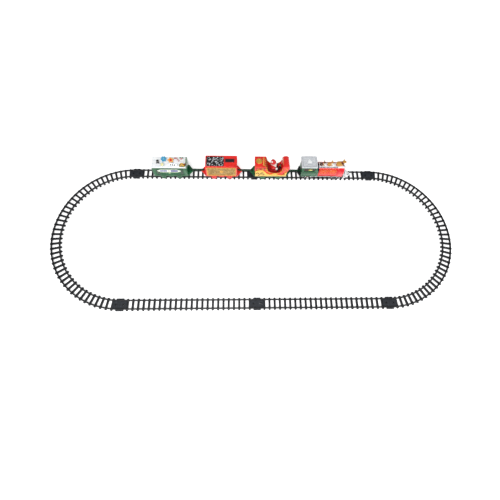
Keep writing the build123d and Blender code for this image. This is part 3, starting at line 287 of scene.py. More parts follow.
PAINT = {
    "track_plastic": moulded(TRACK, 0.40, 0.55, 3.4, 22),
    "joint_plate": moulded((0.018, 0.021, 0.027), 0.46, 0.8, 3.2, 9),
    "wheel_plastic": moulded(BLACK, 0.30, 0.4, 3),
    "frame_black": moulded(BLACK, 0.34, 0.4, 3),
    "green_plastic": moulded(GREEN, 0.26, 0.22, 1.9, Coat_Weight=0.25, Coat_Roughness=0.12),
    "deep_green_plastic": moulded(DEEP_GREEN, 0.28, 0.25, 2.2, Coat_Weight=0.2),
    "red_plastic": moulded(RED, 0.24, 0.2, 1.25, Coat_Weight=0.35, Coat_Roughness=0.1),
    "teal_plastic": moulded((0.03, 0.30, 0.22), 0.26, 0.2, 1.6, Coat_Weight=0.25),
    "bright_red_plastic": moulded((0.78, 0.012, 0.022), 0.2, 0.15, 1.2, Coat_Weight=0.5,
                                  Coat_Roughness=0.08),
    "dark_red_plastic": moulded(CRIMSON, 0.3, 0.25, 1.4),
    "white_plastic": moulded(WHITE, 0.3, 0.15, 1.05),
    "snow_white": snowy(),
    "silver_paint": metallic((0.70, 0.72, 0.74), (0.56, 0.58, 0.61), 0.36, 0.25),
    "rod_silver": metallic((0.86, 0.87, 0.88), (0.5, 0.52, 0.54), 0.22, 0.9, (0.1, 1, 1)),
    "gold_plating": metallic(GOLD, (0.62, 0.34, 0.08), 0.26, 0.62),
    "old_gold": metallic((0.24, 0.145, 0.05), (0.11, 0.06, 0.02), 0.42, 0.3),
    "worn_gold": metallic((0.50, 0.34, 0.13), (0.28, 0.17, 0.05), 0.38, 0.4),
    "yellow_plastic": moulded(YELLOW, 0.28, 0.3, 1.2, Coat_Weight=0.25),
    "orange_relief": painted((0.80, 0.16, 0.03), 0.28, Coat_Weight=0.3),
    "black_panel": speckled((0.006, 0.006, 0.007), (0.62, 0.65, 0.67)),
    "window_tint": glassy((0.035, 0.012, 0.008)),
    "lens": glassy((0.9, 0.87, 0.72), 0.08, Coat_Weight=0.6),
    "amber_lens": glassy((0.85, 0.74, 0.16), 0.14, Coat_Weight=0.5),
    "gear_nylon": moulded((0.72, 0.70, 0.64), 0.42, 0.3, 1.1),
    "steel": metallic((0.62, 0.63, 0.64), (0.36, 0.37, 0.38), 0.3, 0.95, (1, 0.1, 1)),
    "cell_wrap": painted((0.05, 0.09, 0.22), 0.25, Coat_Weight=0.4),
    "board_green": painted((0.02, 0.13, 0.06), 0.3, (0.5, 0.32, 0.1)),
    "toy_paint": hand_painted(),
    "reindeer_gold": hand_painted(0.3),
    "rider_paint": hand_painted(0.38),
    "white_enamel": painted((0.84, 0.86, 0.86), 0.3, Coat_Weight=0.2),
    "cream_enamel": painted(CREAM, 0.3, Coat_Weight=0.2),
    "violet_enamel": painted((0.10, 0.09, 0.30), 0.35),
    "lilac_enamel": painted((0.46, 0.46, 0.62), 0.35),
    "pale_green_enamel": painted((0.42, 0.58, 0.26), 0.35),
    "grey_enamel": painted((0.24, 0.26, 0.29), 0.35),
    "blue_grey_enamel": painted((0.20, 0.26, 0.36), 0.35),
    "ice_blue_enamel": painted((0.05, 0.34, 0.56), 0.3, Coat_Weight=0.3),
    "pale_yellow_enamel": painted((0.80, 0.72, 0.36), 0.3, Coat_Weight=0.3),
    "orange_yellow_enamel": painted((0.88, 0.40, 0.03), 0.3, Coat_Weight=0.3),
    "sack_paint": hand_painted(0.5),
    "brown_enamel": painted((0.16, 0.045, 0.02), 0.4),
}
for name, made in PAINT.items():
    made.name = name
# ---------------------------------------------------------------- shapes

LEVEL = Matrix(((1, 0, 0), (0, 1, 0), (0, 0, 1)))          # a drawing lying flat, rising upwards
NEAR = Matrix(((1, 0, 0), (0, 0, -1), (0, 1, 0)))          # a drawing on the near side, rising towards it
FAR = Matrix(((-1, 0, 0), (0, 0, 1), (0, 1, 0)))           # the same on the far side
ACROSS = Matrix(((0, 0, 1), (1, 0, 0), (0, 1, 0)))         # a drawing across the train, rising forwards
SIDES = ((-1, NEAR), (1, FAR))
OUTWARD = {-1: (90, 0, 0), 1: (-90, 0, 0)}                 # turns a scattered pattern to face out of a side
SHARP_TURN = 34                                            # edges that turn by more degrees stay sharp


def middle_low(node):
    """The middle of a node's footprint, at its lowest height."""
    low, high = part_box(node)
    return Vector(((low.x + high.x) / 2, (low.y + high.y) / 2, low.z))


def oblong(width, height, radius=0.0, steps=4, middle=(0, 0)):
    """Outline of a rectangle with rounded corners."""
    points = []
    for turn, (sx, sy) in enumerate(((1, 1), (-1, 1), (-1, -1), (1, -1))):
        for step in range(steps + 1 if radius else 1):
            angle = (turn + (step / steps if radius else 0)) * pi / 2
            x = sx * (width / 2 - radius) + radius * cos(angle)
            y = sy * (height / 2 - radius) + radius * sin(angle)
            points.append((x + middle[0], y + middle[1]))
    return points


def disc(radius, steps=24, middle=(0, 0), squash=1.0):
    return [(middle[0] + radius * cos(2 * pi * n / steps),
             middle[1] + radius * squash * sin(2 * pi * n / steps))
            for n in range(steps)]


def star(points, outer, inner, turn=90):
    outline = []
    for n in range(2 * points):
        r = inner if n % 2 else outer
        angle = radians(turn) + pi * n / points
        outline.append((r * cos(angle), r * sin(angle)))
    return outline


class Shape:
    """One piece, put together in millimetres from a starting point of the shared frame."""

    def __init__(self, name, start):
        self.name = name
        self.start = start
        self.mesh = bmesh.new()
        self.finishes = []

    def at(self, x, y, z):
        """A point of the shared frame, given in millimetres from its own axes, as this piece sees it."""
        return Vector((x, y, z)) - self.start / MM

    def mark(self, faces, finish_name):
        if finish_name not in self.finishes:
            self.finishes.append(finish_name)
        for face in faces:
            face.material_index = self.finishes.index(finish_name)
        return faces

    def soften(self, faces, width, steps=2):
        """Rounds the edges between these faces that turn by more than 30 degrees."""
        edges = {edge for face in faces for edge in face.edges
                 if len(edge.link_faces) == 2 and edge.calc_face_angle(0) > radians(30)}
        bmesh.ops.bevel(self.mesh, geom=list(edges), offset=width, segments=steps, profile=0.6,
                        affect="EDGES",
                        clamp_overlap=True)

    def loft(self, rings, finish_name, soft=0.0, closed=True, caps=True):
        """Skin over rings of points, each ring with as many points as the others."""
        return self.skin([self.row(ring) for ring in rings], finish_name, soft, closed, caps)

    def row(self, ring):
        return [self.mesh.verts.new(point) for point in ring]

    def skin(self, grid, finish_name, soft=0.0, closed=True, caps=False):
        """Faces between rows of points that already belong to the mesh."""
        faces = []
        count = len(grid[0])
        for first, second in zip(grid, grid[1:]):
            for n in range(count if closed else count - 1):
                m = (n + 1) % count
                faces.append(self.mesh.faces.new((first[n], first[m], second[m], second[n])))
        if caps:
            faces.append(self.mesh.faces.new(list(reversed(grid[0]))))
            faces.append(self.mesh.faces.new(grid[-1]))
        bmesh.ops.recalc_face_normals(self.mesh, faces=faces)
        self.mark(faces, finish_name)
        if soft:
            self.soften(faces, soft)
        return faces

    def prism(self, outline, low, high, finish_name, place=LEVEL, middle=(0, 0, 0), soft=0.3):
        """A drawn outline raised from low to high along the drawing's own height."""
        middle = Vector(middle)
        rings = [[place @ Vector((u, v, w)) + middle for u, v in outline] for w in (low, high)]
        return self.loft(rings, finish_name, soft)

    def frame(self, outer, inner, low, high, finish_name, place=LEVEL, middle=(0, 0, 0), soft=0.0):
        """A band between two outlines of as many points each, raised from low to high."""
        middle = Vector(middle)
        grid = [self.row(place @ Vector((u, v, w)) + middle for u, v in outline)
                for outline, w in ((outer, low), (outer, high), (inner, high), (inner, low))]
        return self.skin([*grid, grid[0]], finish_name, soft)

    def turned(self, profile, finish_name, place=LEVEL, middle=(0, 0, 0), steps=32, soft=0.0,
               caps=True):
        """A profile of (radius, height) pairs turned about the drawing's height."""
        middle = Vector(middle)
        rings = []
        for r, w in profile:
            rings.append([place @ Vector((r * cos(2 * pi * n / steps), r * sin(2 * pi * n / steps), w))
                          + middle
                          for n in range(steps)])
        return self.loft(rings, finish_name, soft, caps=caps)

    def ball(self, middle, radii, finish_name, steps=20):
        made = bmesh.ops.create_uvsphere(self.mesh, u_segments=steps, v_segments=steps // 2, radius=1.0)
        for vertex in made["verts"]:
            vertex.co = Vector(c * r for c, r in zip(vertex.co, radii)) + Vector(middle)
        return self.mark({face for vertex in made["verts"] for face in vertex.link_faces}, finish_name)

    def take(self, mesh, finish_name):
        """Adds a finished mesh that is in metres of the shared frame."""
        count = len(self.mesh.faces)
        moved = mesh.copy()
        moved.transform(Matrix.Translation(-self.start / MM) @ Matrix.Diagonal((1 / MM, 1 / MM, 1 / MM, 1)))
        self.mesh.from_mesh(moved)
        bpy.data.meshes.remove(moved)
        self.mesh.faces.ensure_lookup_table()
        return self.mark(self.mesh.faces[count:], finish_name)

    def paint(self, colours):
        """Lays down the paint of the points just taken in, one colour for each."""
        layers = self.mesh.verts.layers.float_color
        layer = layers.get("paint") or layers.new("paint")
        self.mesh.verts.ensure_lookup_table()
        first = len(self.mesh.verts) - len(colours)
        for number, colour in enumerate(colours):
            self.mesh.verts[first + number][layer] = (*colour, 1)

    def keep(self, body, node):
        """Makes the piece an object that rides on its body in place of the named node."""
        made = bpy.data.meshes.new(self.name)
        self.mesh.transform(Matrix.Diagonal((MM, MM, MM, 1)))
        self.mesh.transform(Matrix.Translation(self.start))
        self.mesh.to_mesh(made)
        self.mesh.free()
        for finish_name in self.finishes:
            made.materials.append(PAINT[finish_name])
        made.shade_smooth()
        made.set_sharp_from_angle(angle=radians(SHARP_TURN))
        piece = bpy.data.objects.new(self.name, made)
        bpy.context.scene.collection.objects.link(piece)
        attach(piece, body)
        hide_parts(node)


def evaluated(piece):
    """The piece's mesh with its modifiers applied; the working object goes away."""
    mesh = bpy.data.meshes.new_from_object(piece.evaluated_get(bpy.context.evaluated_depsgraph_get()))
    bpy.data.objects.remove(piece)
    return mesh


def working(name, mesh):
    piece = bpy.data.objects.new(name, mesh)
    bpy.context.scene.collection.objects.link(piece)
    return piece


def evaluated_shape(shape):
    """A drawn pattern as a mesh in metres."""
    mesh = bpy.data.meshes.new(shape.name)
    shape.mesh.transform(Matrix.Diagonal((MM, MM, MM, 1)))
    shape.mesh.to_mesh(mesh)
    shape.mesh.free()
    return mesh


def softened(node, width=0.35, turn=35):
    """A carried-over part's own mesh, with its loose triangles joined and its edges rounded."""
    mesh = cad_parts[node].data.copy()
    work = bmesh.new()
    work.from_mesh(mesh)
    bmesh.ops.remove_doubles(work, verts=work.verts, dist=0.004 * MM)
    bmesh.ops.dissolve_limit(work, angle_limit=radians(1), verts=work.verts, edges=work.edges)
    work.to_mesh(mesh)
    work.free()
    piece = working(node + "_softened", mesh)
    bevel = piece.modifiers.new("rounding", "BEVEL")
    bevel.width = width * MM
    bevel.segments = 2
    bevel.limit_method = "ANGLE"
    bevel.angle_limit = radians(turn)
    bevel.use_clamp_overlap = True
    return evaluated(piece)


# ---------------------------------------------------------------- growing repeated shapes along paths

def growing_tree(name, inputs):
    """An empty geometry tree with named inputs: label, kind of socket and starting value."""
    group = bpy.data.node_groups.new(name, "GeometryNodeTree")
    group.interface.new_socket("Geometry", in_out="INPUT", socket_type="NodeSocketGeometry")
    for label, kind, value in inputs:
        socket = group.interface.new_socket(label, in_out="INPUT", socket_type="NodeSocket" + kind)
        if value is not None:
            socket.default_value = value
    group.interface.new_socket("Geometry", in_out="OUTPUT", socket_type="NodeSocketGeometry")
    net = Net(group)
    return net, net.node("NodeGroupInput")


def close_tree(net, shape, entry):
    """Turns what was grown into plain geometry, gives it its finish and hands it out."""
    real = net.node("GeometryNodeRealizeInstances", {"Geometry": shape})
    coated = net.node("GeometryNodeSetMaterial", {"Geometry": real, "Material": entry.out("Finish")})
    net.node("NodeGroupOutput", {"Geometry": coated})
    return net.tree


def piping_tree():
    """Round piping along every edge path; the path's own attribute says how thick it is."""
    net, entry = growing_tree("piping", (("Sides", "Int", 8), ("Finish", "Material", None)))
    path = net.node("GeometryNodeMeshToCurve", {"Mesh": entry.out("Geometry")})
    ring = net.node("GeometryNodeCurvePrimitiveCircle", {"Resolution": entry.out("Sides"), "Radius": 1.0})
    thick = net.node("GeometryNodeInputNamedAttribute", {"Name": "thick"}, data_type="FLOAT")
    tube = net.node("GeometryNodeCurveToMesh",
                    {"Curve": path, "Profile Curve": ring, "Scale": thick, "Fill Caps": True})
    return close_tree(net, tube, entry)


def scatter_tree():
    """One pattern at every point, turned and stretched by the point's own attributes."""
    net, entry = growing_tree("scatter", (("Pattern", "Object", None), ("Finish", "Material", None)))
    pattern = net.node("GeometryNodeObjectInfo", {"Object": entry.out("Pattern")}, out="Geometry")
    turn = net.node("GeometryNodeInputNamedAttribute", {"Name": "turn"}, data_type="FLOAT_VECTOR")
    stretch = net.node("GeometryNodeInputNamedAttribute", {"Name": "stretch"}, data_type="FLOAT_VECTOR")
    turned = net.node("FunctionNodeEulerToRotation", {"Euler": turn})
    rows = net.node("GeometryNodeInstanceOnPoints", {"Points": entry.out("Geometry"), "Instance": pattern,
                                                     "Rotation": turned, "Scale": stretch})
    return close_tree(net, rows, entry)


def track_tree():
    """Sleepers set along a path and both rails swept along it."""
    net, entry = growing_tree("track", (
        ("Sleeper", "Object", None), ("Rail section", "Object", None), ("Sleepers", "Int", 24),
        ("First sleeper", "Float", 0.018), ("Last sleeper", "Float", 0.3), ("Finish", "Material", None)))
    path = net.node("GeometryNodeMeshToCurve", {"Mesh": entry.out("Geometry")})
    upright = net.node("GeometryNodeSetCurveNormal", {"Curve": path}, mode="Z_UP")
    trim = net.node("GeometryNodeTrimCurve", {"Curve": upright, 4: entry.out("First sleeper"),
                                              5: entry.out("Last sleeper")}, mode="LENGTH")
    places = net.node("GeometryNodeCurveToPoints", {"Curve": trim, "Count": entry.out("Sleepers")},
                      out="Points",
                      mode="COUNT")
    forward = net.node("FunctionNodeAxesToRotation",
                       {"Primary Axis": (0, 0, 1), "Secondary Axis": places.out("Tangent")},
                       primary_axis="Z", secondary_axis="X")
    sleeper = net.node("GeometryNodeObjectInfo", {"Object": entry.out("Sleeper")}, out="Geometry")
    sleepers = net.node("GeometryNodeInstanceOnPoints",
                        {"Points": places, "Instance": sleeper, "Rotation": forward})
    section = net.node("GeometryNodeObjectInfo", {"Object": entry.out("Rail section")}, out="Geometry")
    section = net.node("GeometryNodeMeshToCurve", {"Mesh": section})
    rails = net.node("GeometryNodeCurveToMesh",
                     {"Curve": upright, "Profile Curve": section, "Fill Caps": True})
    both = net.node("GeometryNodeJoinGeometry", {"Geometry": sleepers})
    net.tree.links.new(rails.socket, both.socket.node.inputs["Geometry"])
    return close_tree(net, both, entry)


GROW = {"piping": piping_tree(), "scatter": scatter_tree(), "track": track_tree()}


def grown(kind, mesh, finish_name, **values):
    """The plain mesh that a tree grows from a base mesh; values name the tree's inputs."""
    piece = working(kind, mesh)
    modifier = piece.modifiers.new(kind, "NODES")
    modifier.node_group = GROW[kind]
    values["Finish"] = PAINT[finish_name]
    for socket in GROW[kind].interface.items_tree:
        label = socket.name.replace(" ", "_")
        if socket.in_out == "INPUT" and label in values:
            modifier[socket.identifier] = values[label]
    return evaluated(piece)


def base_mesh(points, edges=(), **attributes):
    """Points and edge paths in metres, with a value of each attribute for every point."""
    mesh = bpy.data.meshes.new("base")
    mesh.from_pydata(points, edges, [])
    for name, values in attributes.items():
        vector = isinstance(values[0], (tuple, Vector))
        layer = mesh.attributes.new(name, "FLOAT_VECTOR" if vector else "FLOAT", "POINT")
        for item, value in zip(layer.data, values):
            if vector:
                item.vector = value
            else:
                item.value = value
    return mesh


def piping(shape, paths, finish_name, sides=8):
    """Adds round piping to a shape. Each path lists (point, thickness) pairs in the shape's millimetres."""
    points, edges, thick = [], [], []
    for path in paths:
        first = len(points)
        for point, radius in path:
            points.append(Vector(point) * MM + shape.start)
            thick.append(radius * MM)
        edges += [(n, n + 1) for n in range(first, len(points) - 1)]
    mesh = grown("piping", base_mesh(points, edges, thick=thick), finish_name, Sides=sides)
    return shape.take(mesh, finish_name)


def scatter(shape, pattern, places, finish_name):
    """Adds one pattern (a Shape drawn about zero) at each place: point, turns in degrees and stretch."""
    model = working("pattern", evaluated_shape(pattern))
    points = [Vector(point) * MM + shape.start for point, turn, stretch in places]
    turns = [Vector(radians(angle) for angle in turn) for point, turn, stretch in places]
    stretches = [Vector(stretch) for point, turn, stretch in places]
    made = grown("scatter", base_mesh(points, turn=turns, stretch=stretches), finish_name, Pattern=model)
    bpy.data.objects.remove(model)
    return shape.take(made, finish_name)


def curl(middle, start, end, first, turns, steps=22):
    """A spiral of (u, v) points whose radius runs from start to end while it turns, in degrees."""
    points = []
    for n in range(steps + 1):
        share = n / steps
        r = start + (end - start) * share
        angle = radians(first + turns * share)
        points.append((middle[0] + r * cos(angle), middle[1] + r * sin(angle)))
    return points


def wave(points, steps=8):
    """A smooth line of (u, v) points through the given ones."""
    line = []
    ends = [points[0], *points, points[-1]]
    for a, b, c, d in zip(ends, ends[1:], ends[2:], ends[3:]):
        for n in range(steps):
            t = n / steps
            line.append(tuple(0.5 * (2 * q + (r - p) * t + (2 * p - 5 * q + 4 * r - s) * t * t
                                     + (3 * q - p - 3 * r + s) * t ** 3)
                              for p, q, r, s in zip(a, b, c, d)))
    return [*line, points[-1]]


def tapered(line, thick, place):
    """A drawn line as a path for piping: thin at both ends and thick in the middle."""
    count = len(line) - 1
    return [(place(u, v), thick * (0.35 + 0.65 * sin(pi * min(max(n / count, 0.04), 0.96)) ** 0.6))
            for n, (u, v) in enumerate(line)]


# ---------------------------------------------------------------- modelled figures

class Lump:
    """A rounded limb or mass of a figure: from one end with its radius to another, and its paint."""

    def __init__(self, paint, start, start_r, end=None, end_r=None, flat=(1, 1, 1), over=0.0):
        self.paint = paint
        self.start = Vector(start)
        self.end = Vector(end) if end else self.start.copy()
        self.start_r = start_r
        self.end_r = start_r if end_r is None else end_r
        self.flat = Vector(flat)
        self.over = over

    def skins(self):
        """Middles and radii of the closed spheres strung along the limb."""
        length = (self.end - self.start).length
        count = max(int(length / (0.45 * max(min(self.start_r, self.end_r), 0.3))), 1) if length else 0
        for n in range(count + 1):
            share = n / count if count else 0
            yield self.start.lerp(self.end, share), self.start_r + (self.end_r - self.start_r) * share

    def distances(self, points):
        """How far each of many points lies outside the limb."""
        start, along = numpy.array(self.start), numpy.array(self.end - self.start)
        share = numpy.clip((points - start) @ along / max(along @ along, 1e-9), 0, 1)[:, None]
        away = (points - start - share * along) / numpy.array(self.flat)
        r = self.start_r + (self.end_r - self.start_r) * share[:, 0]
        return numpy.linalg.norm(away, axis=1) - r - self.over


def figure(shape, lumps, finish_name, fine=0.35, smooth=3):
    """Adds lumps melted into one skin; every point takes the paint of the nearest lump."""
    unit = bmesh.new()
    bmesh.ops.create_uvsphere(unit, u_segments=16, v_segments=10, radius=MM)
    unit_points = numpy.array([vertex.co for vertex in unit.verts])
    unit_faces = [[vertex.index for vertex in face.verts] for face in unit.faces]
    unit.free()
    points, faces = [], []
    for lump in lumps:
        for middle, r in lump.skins():
            first = len(points) * len(unit_points)
            points.append(unit_points * r * numpy.array(lump.flat) + numpy.array(middle) * MM)
            faces += [[first + n for n in face] for face in unit_faces]
    mesh = bpy.data.meshes.new("lumps")
    mesh.from_pydata(numpy.concatenate(points).tolist(), [], faces)
    piece = working("lumps", mesh)
    melt = piece.modifiers.new("melt", "REMESH")
    melt.mode = "VOXEL"
    melt.voxel_size = fine * MM
    even = piece.modifiers.new("even", "SMOOTH")
    even.factor = 0.5
    even.iterations = smooth
    mesh = evaluated(piece)
    points = numpy.array([vertex.co / MM for vertex in mesh.vertices])
    nearest = numpy.argmin([lump.distances(points) for lump in lumps], axis=0)
    colours = [lumps[number].paint for number in nearest]
    mesh.transform(Matrix.Translation(shape.start))
    shape.take(mesh, finish_name)
    shape.paint(colours)


# ---------------------------------------------------------------- track

SECTION = 331.5                 # a straight section, seam to seam
CURVE_R = 184.0
STRAIGHT_SLEEPERS, CURVE_SLEEPERS = 24, 43
FIRST_SLEEPER = 18.0            # its middle from the seam
SLEEPER = (5.0, 30.4, 4.0)
RAIL_OFFSET = 10.2
RAIL_TOP = 8.5
SEAM_GAP = 0.2
PLATE_TOP = 5.0
LUG = 9.0                       # length of the cross lugs at a seam
TONGUE = 12.5                   # how far the tongue reaches past its seam
PEG_FROM_SEAM, PEG_HOLE_R = 9.0, 2.1


def sleeper_pattern():
    """A round-ended sleeper with a raised chair under each rail."""
    shape = Shape("sleeper", Vector())
    width, length, height = SLEEPER
    shape.prism(oblong(width, length, width / 2 - 0.01, 5), 0, height, "track_plastic", soft=0.4)
    for side in (-1, 1):
        chair = oblong(width - 0.9, 4.6, 0.4, 1, (0, side * RAIL_OFFSET))
        shape.prism(chair, height - 0.2, height + 0.9, "track_plastic", soft=0.3)
    return shape


def rail_section():
    """Both rails cut across: foot, web and rounded head, as closed loops whose heights count downwards."""
    half = [(1.9, 4.0), (1.9, 4.7), (0.75, 5.3), (0.62, 6.3), (1.0, 6.9), (1.0, 7.9), (0.72, 8.35),
            (0.3, RAIL_TOP)]
    loop = half + [(-x, z) for x, z in reversed(half)]
    points, edges = [], []
    for side in (-1, 1):
        first = len(points)
        points += [Vector((side * RAIL_OFFSET + x, -z, 0)) * MM for x, z in loop]
        edges += [(first + n, first + (n + 1) % len(loop)) for n in range(len(loop))]
    return base_mesh(points, edges)


def into_section(inward):
    """Turns a drawing so that it runs from a seam into the section."""
    return Matrix((inward, Vector((-inward.y, inward.x, 0)), UP)).transposed()


def plate_at_seam(shape, seam, inward, female):
    """Joint plate with its cross lugs. inward points into the section, in millimetres of the shared frame."""
    place = into_section(inward)
    start = shape.at(*seam)
    inner = FIRST_SLEEPER - SEAM_GAP / 2
    half = RAIL_OFFSET - 1.1
    # the plate is a ring of panels round the peg hole
    steps = 24
    corners = [atan2(y, x) % (2 * pi) for x in (SEAM_GAP / 2 - PEG_FROM_SEAM, inner - PEG_FROM_SEAM)
               for y in (-half, half)]
    angles = sorted([2 * pi * n / steps for n in range(steps)] + corners)
    outer, hole = [], []
    for angle in angles:
        u, v = cos(angle), sin(angle)
        reach_u = (inner - PEG_FROM_SEAM if u > 0 else PEG_FROM_SEAM - SEAM_GAP / 2) / max(abs(u), 1e-9)
        reach = min(reach_u, half / max(abs(v), 1e-9))
        outer.append((PEG_FROM_SEAM + reach * u, reach * v))
        hole.append((PEG_FROM_SEAM + PEG_HOLE_R * u, PEG_HOLE_R * v))
    shape.frame(outer, hole, 0.0, PLATE_TOP, "joint_plate", place, start)
    lip = [disc(r, steps, (PEG_FROM_SEAM, 0)) for r in (PEG_HOLE_R + 1.3, PEG_HOLE_R + 0.35)]
    shape.frame(lip[0], lip[1], PLATE_TOP - 0.3, PLATE_TOP + 0.5, "joint_plate", place, start, soft=0.2)
    if not female:
        peg = disc(PEG_HOLE_R - 0.6, 16, (PEG_FROM_SEAM, 0))
        shape.prism(peg, 0.3, PLATE_TOP - 1.6, "track_plastic", place, start, soft=0.3)
    # lugs outside the rails, and a small step where the plate meets them
    for side in (-1, 1):
        middle = side * (RAIL_OFFSET + SLEEPER[1] / 2) / 2
        width = SLEEPER[1] / 2 - RAIL_OFFSET
        lug = oblong(LUG, width, 1.2, 3, (SEAM_GAP / 2 + LUG / 2, middle))
        shape.prism(lug, 0, PLATE_TOP, "joint_plate", place, start, soft=0.5)
        rib = oblong(inner - 3.4, 1.0, 0.3, 2, (inner / 2 + 0.6, side * (half - 1.2)))
        shape.prism(rib, PLATE_TOP - 0.2, PLATE_TOP + 0.45, "joint_plate", place, start, soft=0.2)
    step = oblong(1.2, 2 * half - 4.0, 0.4, 2, (inner - 1.1, 0))
    shape.prism(step, PLATE_TOP - 0.2, PLATE_TOP + 0.45, "joint_plate", place, start, soft=0.2)


def tongue(shape, seam, inward):
    """The flat tongue and peg that reach under the next section."""
    place = into_section(inward)
    start = shape.at(*seam)
    width, overlap = 11.8, 4.0
    outline = oblong(TONGUE + overlap, width, 1.0, 3, ((overlap - TONGUE) / 2, 0))
    shape.prism(outline, 0.05, 1.55, "track_plastic", place, start, soft=0.25)
    shape.prism(disc(1.85, 20, (-PEG_FROM_SEAM, 0)), 1.2, 4.3, "track_plastic", place, start, soft=0.3)


def track_section(node, path, sleepers, length):
    """One section: path lists its centreline from the seam with the tongue to the seam without."""
    shape = Shape(node + "_track", middle_low(node))
    model = working("sleeper", evaluated_shape(sleeper_pattern()))
    section = working("rail_section", rail_section())
    mesh = base_mesh([Vector(point) * MM for point in path], [(n, n + 1) for n in range(len(path) - 1)])
    shape.take(grown("track", mesh, "track_plastic", Sleeper=model, Rail_section=section, Sleepers=sleepers,
                     First_sleeper=FIRST_SLEEPER * MM, Last_sleeper=(length - FIRST_SLEEPER) * MM),
                     "track_plastic")
    bpy.data.objects.remove(model)
    bpy.data.objects.remove(section)
    for place, after, female in ((path[0], path[1], False), (path[-1], path[-2], True)):
        inward = (Vector(after) - Vector(place)).normalized()
        inward = Vector((round(inward.x), round(inward.y), 0))
        plate_at_seam(shape, place, inward, female)
        if not female:
            tongue(shape, place, inward)
    shape.keep("track", node)


def half_circle(middle_x, first):
    """Centreline of a curve in millimetres, turning left from its first seam's angle in degrees."""
    angles = [radians(first + degree) for degree in range(181)]
    return [(middle_x + CURVE_R * cos(angle), CURVE_R * sin(angle), 0) for angle in angles]


def build_track():
    for side, row in ((-1, "front"), (1, "back")):
        for end, place in ((-1, "left"), (1, "right")):
            node = f"straight_track_{row}_{place}"
            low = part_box(node)[0]
            seam_x = sorted((0.0, end * SECTION))
            # the tongue sticks out of the seam it belongs to
            tongue_first = low.x / MM < seam_x[0] - 1
            ends = seam_x if tongue_first else seam_x[::-1]
            path = [(ends[0] + (ends[1] - ends[0]) * n / 8, side * CURVE_R, 0) for n in range(9)]
            track_section(node, path, STRAIGHT_SLEEPERS, SECTION)
    for end, place in ((-1, "left"), (1, "right")):
        node = f"curve_track_{place}"
        track_section(node, half_circle(end * SECTION, -90 * end), CURVE_SLEEPERS, pi * CURVE_R)


build_track()


# ---------------------------------------------------------------- wheels, frames and couplings

AXLE_Z = 16.65
WHEELBASE = 43.0
DECK_TOP = 24.5


def standing(node):
    """The middle of a node's footprint, at floor level."""
    spot = middle_low(node)
    spot.z = 0.0
    return spot


def wheel(shape, side, tyre, centre, spokes=8):
    """One flanged wheel: tyre with its flange, dished web with raised spokes, and a hub."""
    place = NEAR if side < 0 else FAR
    middle = (0, 0, AXLE_Z)
    rim = [(6.3, 7.6), (8.8, 7.6), (9.15, 8.0), (9.15, 8.5), (8.1, 8.95), (8.0, 12.1), (7.7, 12.35),
           (6.3, 12.35)]
    shape.turned(rim + rim[:1], tyre, place, middle, 40, caps=False)
    shape.turned([(6.5, 8.6), (6.5, 11.2), (2.2, 11.2), (2.2, 8.6)], centre, place, middle, 40)
    shape.turned([(2.5, 8.0), (2.5, 12.1), (2.1, 12.4), (0.9, 12.4)], centre, place, middle, 24)
    for n in range(spokes):
        turn = Matrix.Rotation(2 * pi * n / spokes, 3, "Z")
        bar = [(turn @ Vector((u, v, 0))).to_2d() for u, v in oblong(4.6, 1.0, 0.3, 2, (4.3, 0))]
        shape.prism([tuple(point) for point in bar], 11.0, 11.9, centre, place, middle, soft=0.2)


def wheelset(node, body, half, tyre="wheel_plastic", centre="wheel_plastic", pins=()):
    """Two wheels on their axle. pins lists (side, u, v) of the pins that carry the side rods."""
    shape = Shape(node + "_wheels", standing(node))
    for side, place in SIDES:
        wheel(shape, side, tyre, centre)
        tip = [(0.98, 0), (0.98, half - 0.35), (0.65, half - 0.02)]
        shape.turned(tip, "steel", place, (0, 0, AXLE_Z), 20)
    for side, u, v in pins:
        place = NEAR if side < 0 else FAR
        at = (u, 0, AXLE_Z + v)
        shape.turned([(2.4, 11.0), (2.4, 12.38), (1.15, 12.42), (1.15, 15.4), (0.85, 15.65)], "rod_silver",
                     place, at, 20)
    shape.keep(body, node)


def build_wagon_wheels():
    for wagon in ("green", "red", "sleigh"):
        for end in ("rear", "front"):
            wheelset(f"{wagon}_wagon_{end}_wheelset", f"{wagon}_wagon_{end}_wheels", 17.0)


def guard_details(shape, side, place, x, rim, face):
    """Raised rings, bolts and a hub cap on a round wheel guard."""
    spot = (x, 0, AXLE_Z)
    shape.turned([(7.5, 17.6), (7.5, 18.45), (6.9, 18.55), (6.5, 18.2), (6.3, 17.7)], rim, place, spot, 40)
    shape.turned([(3.3, 17.8), (3.2, 18.3), (2.4, 18.5), (1.2, 18.5), (0.5, 18.15)], face, place, spot, 28)
    bolt = Shape("bolt", Vector())
    bolt.turned([(0.62, 0), (0.6, 0.3), (0.3, 0.48)], face, steps=8)
    places = []
    for n in range(6):
        a = radians(60 * n)
        places.append(((x + 4.9 * cos(a), side * 17.95, AXLE_Z + 4.9 * sin(a)), OUTWARD[side], (1, 1, 1)))
    scatter(shape, bolt, places, face)


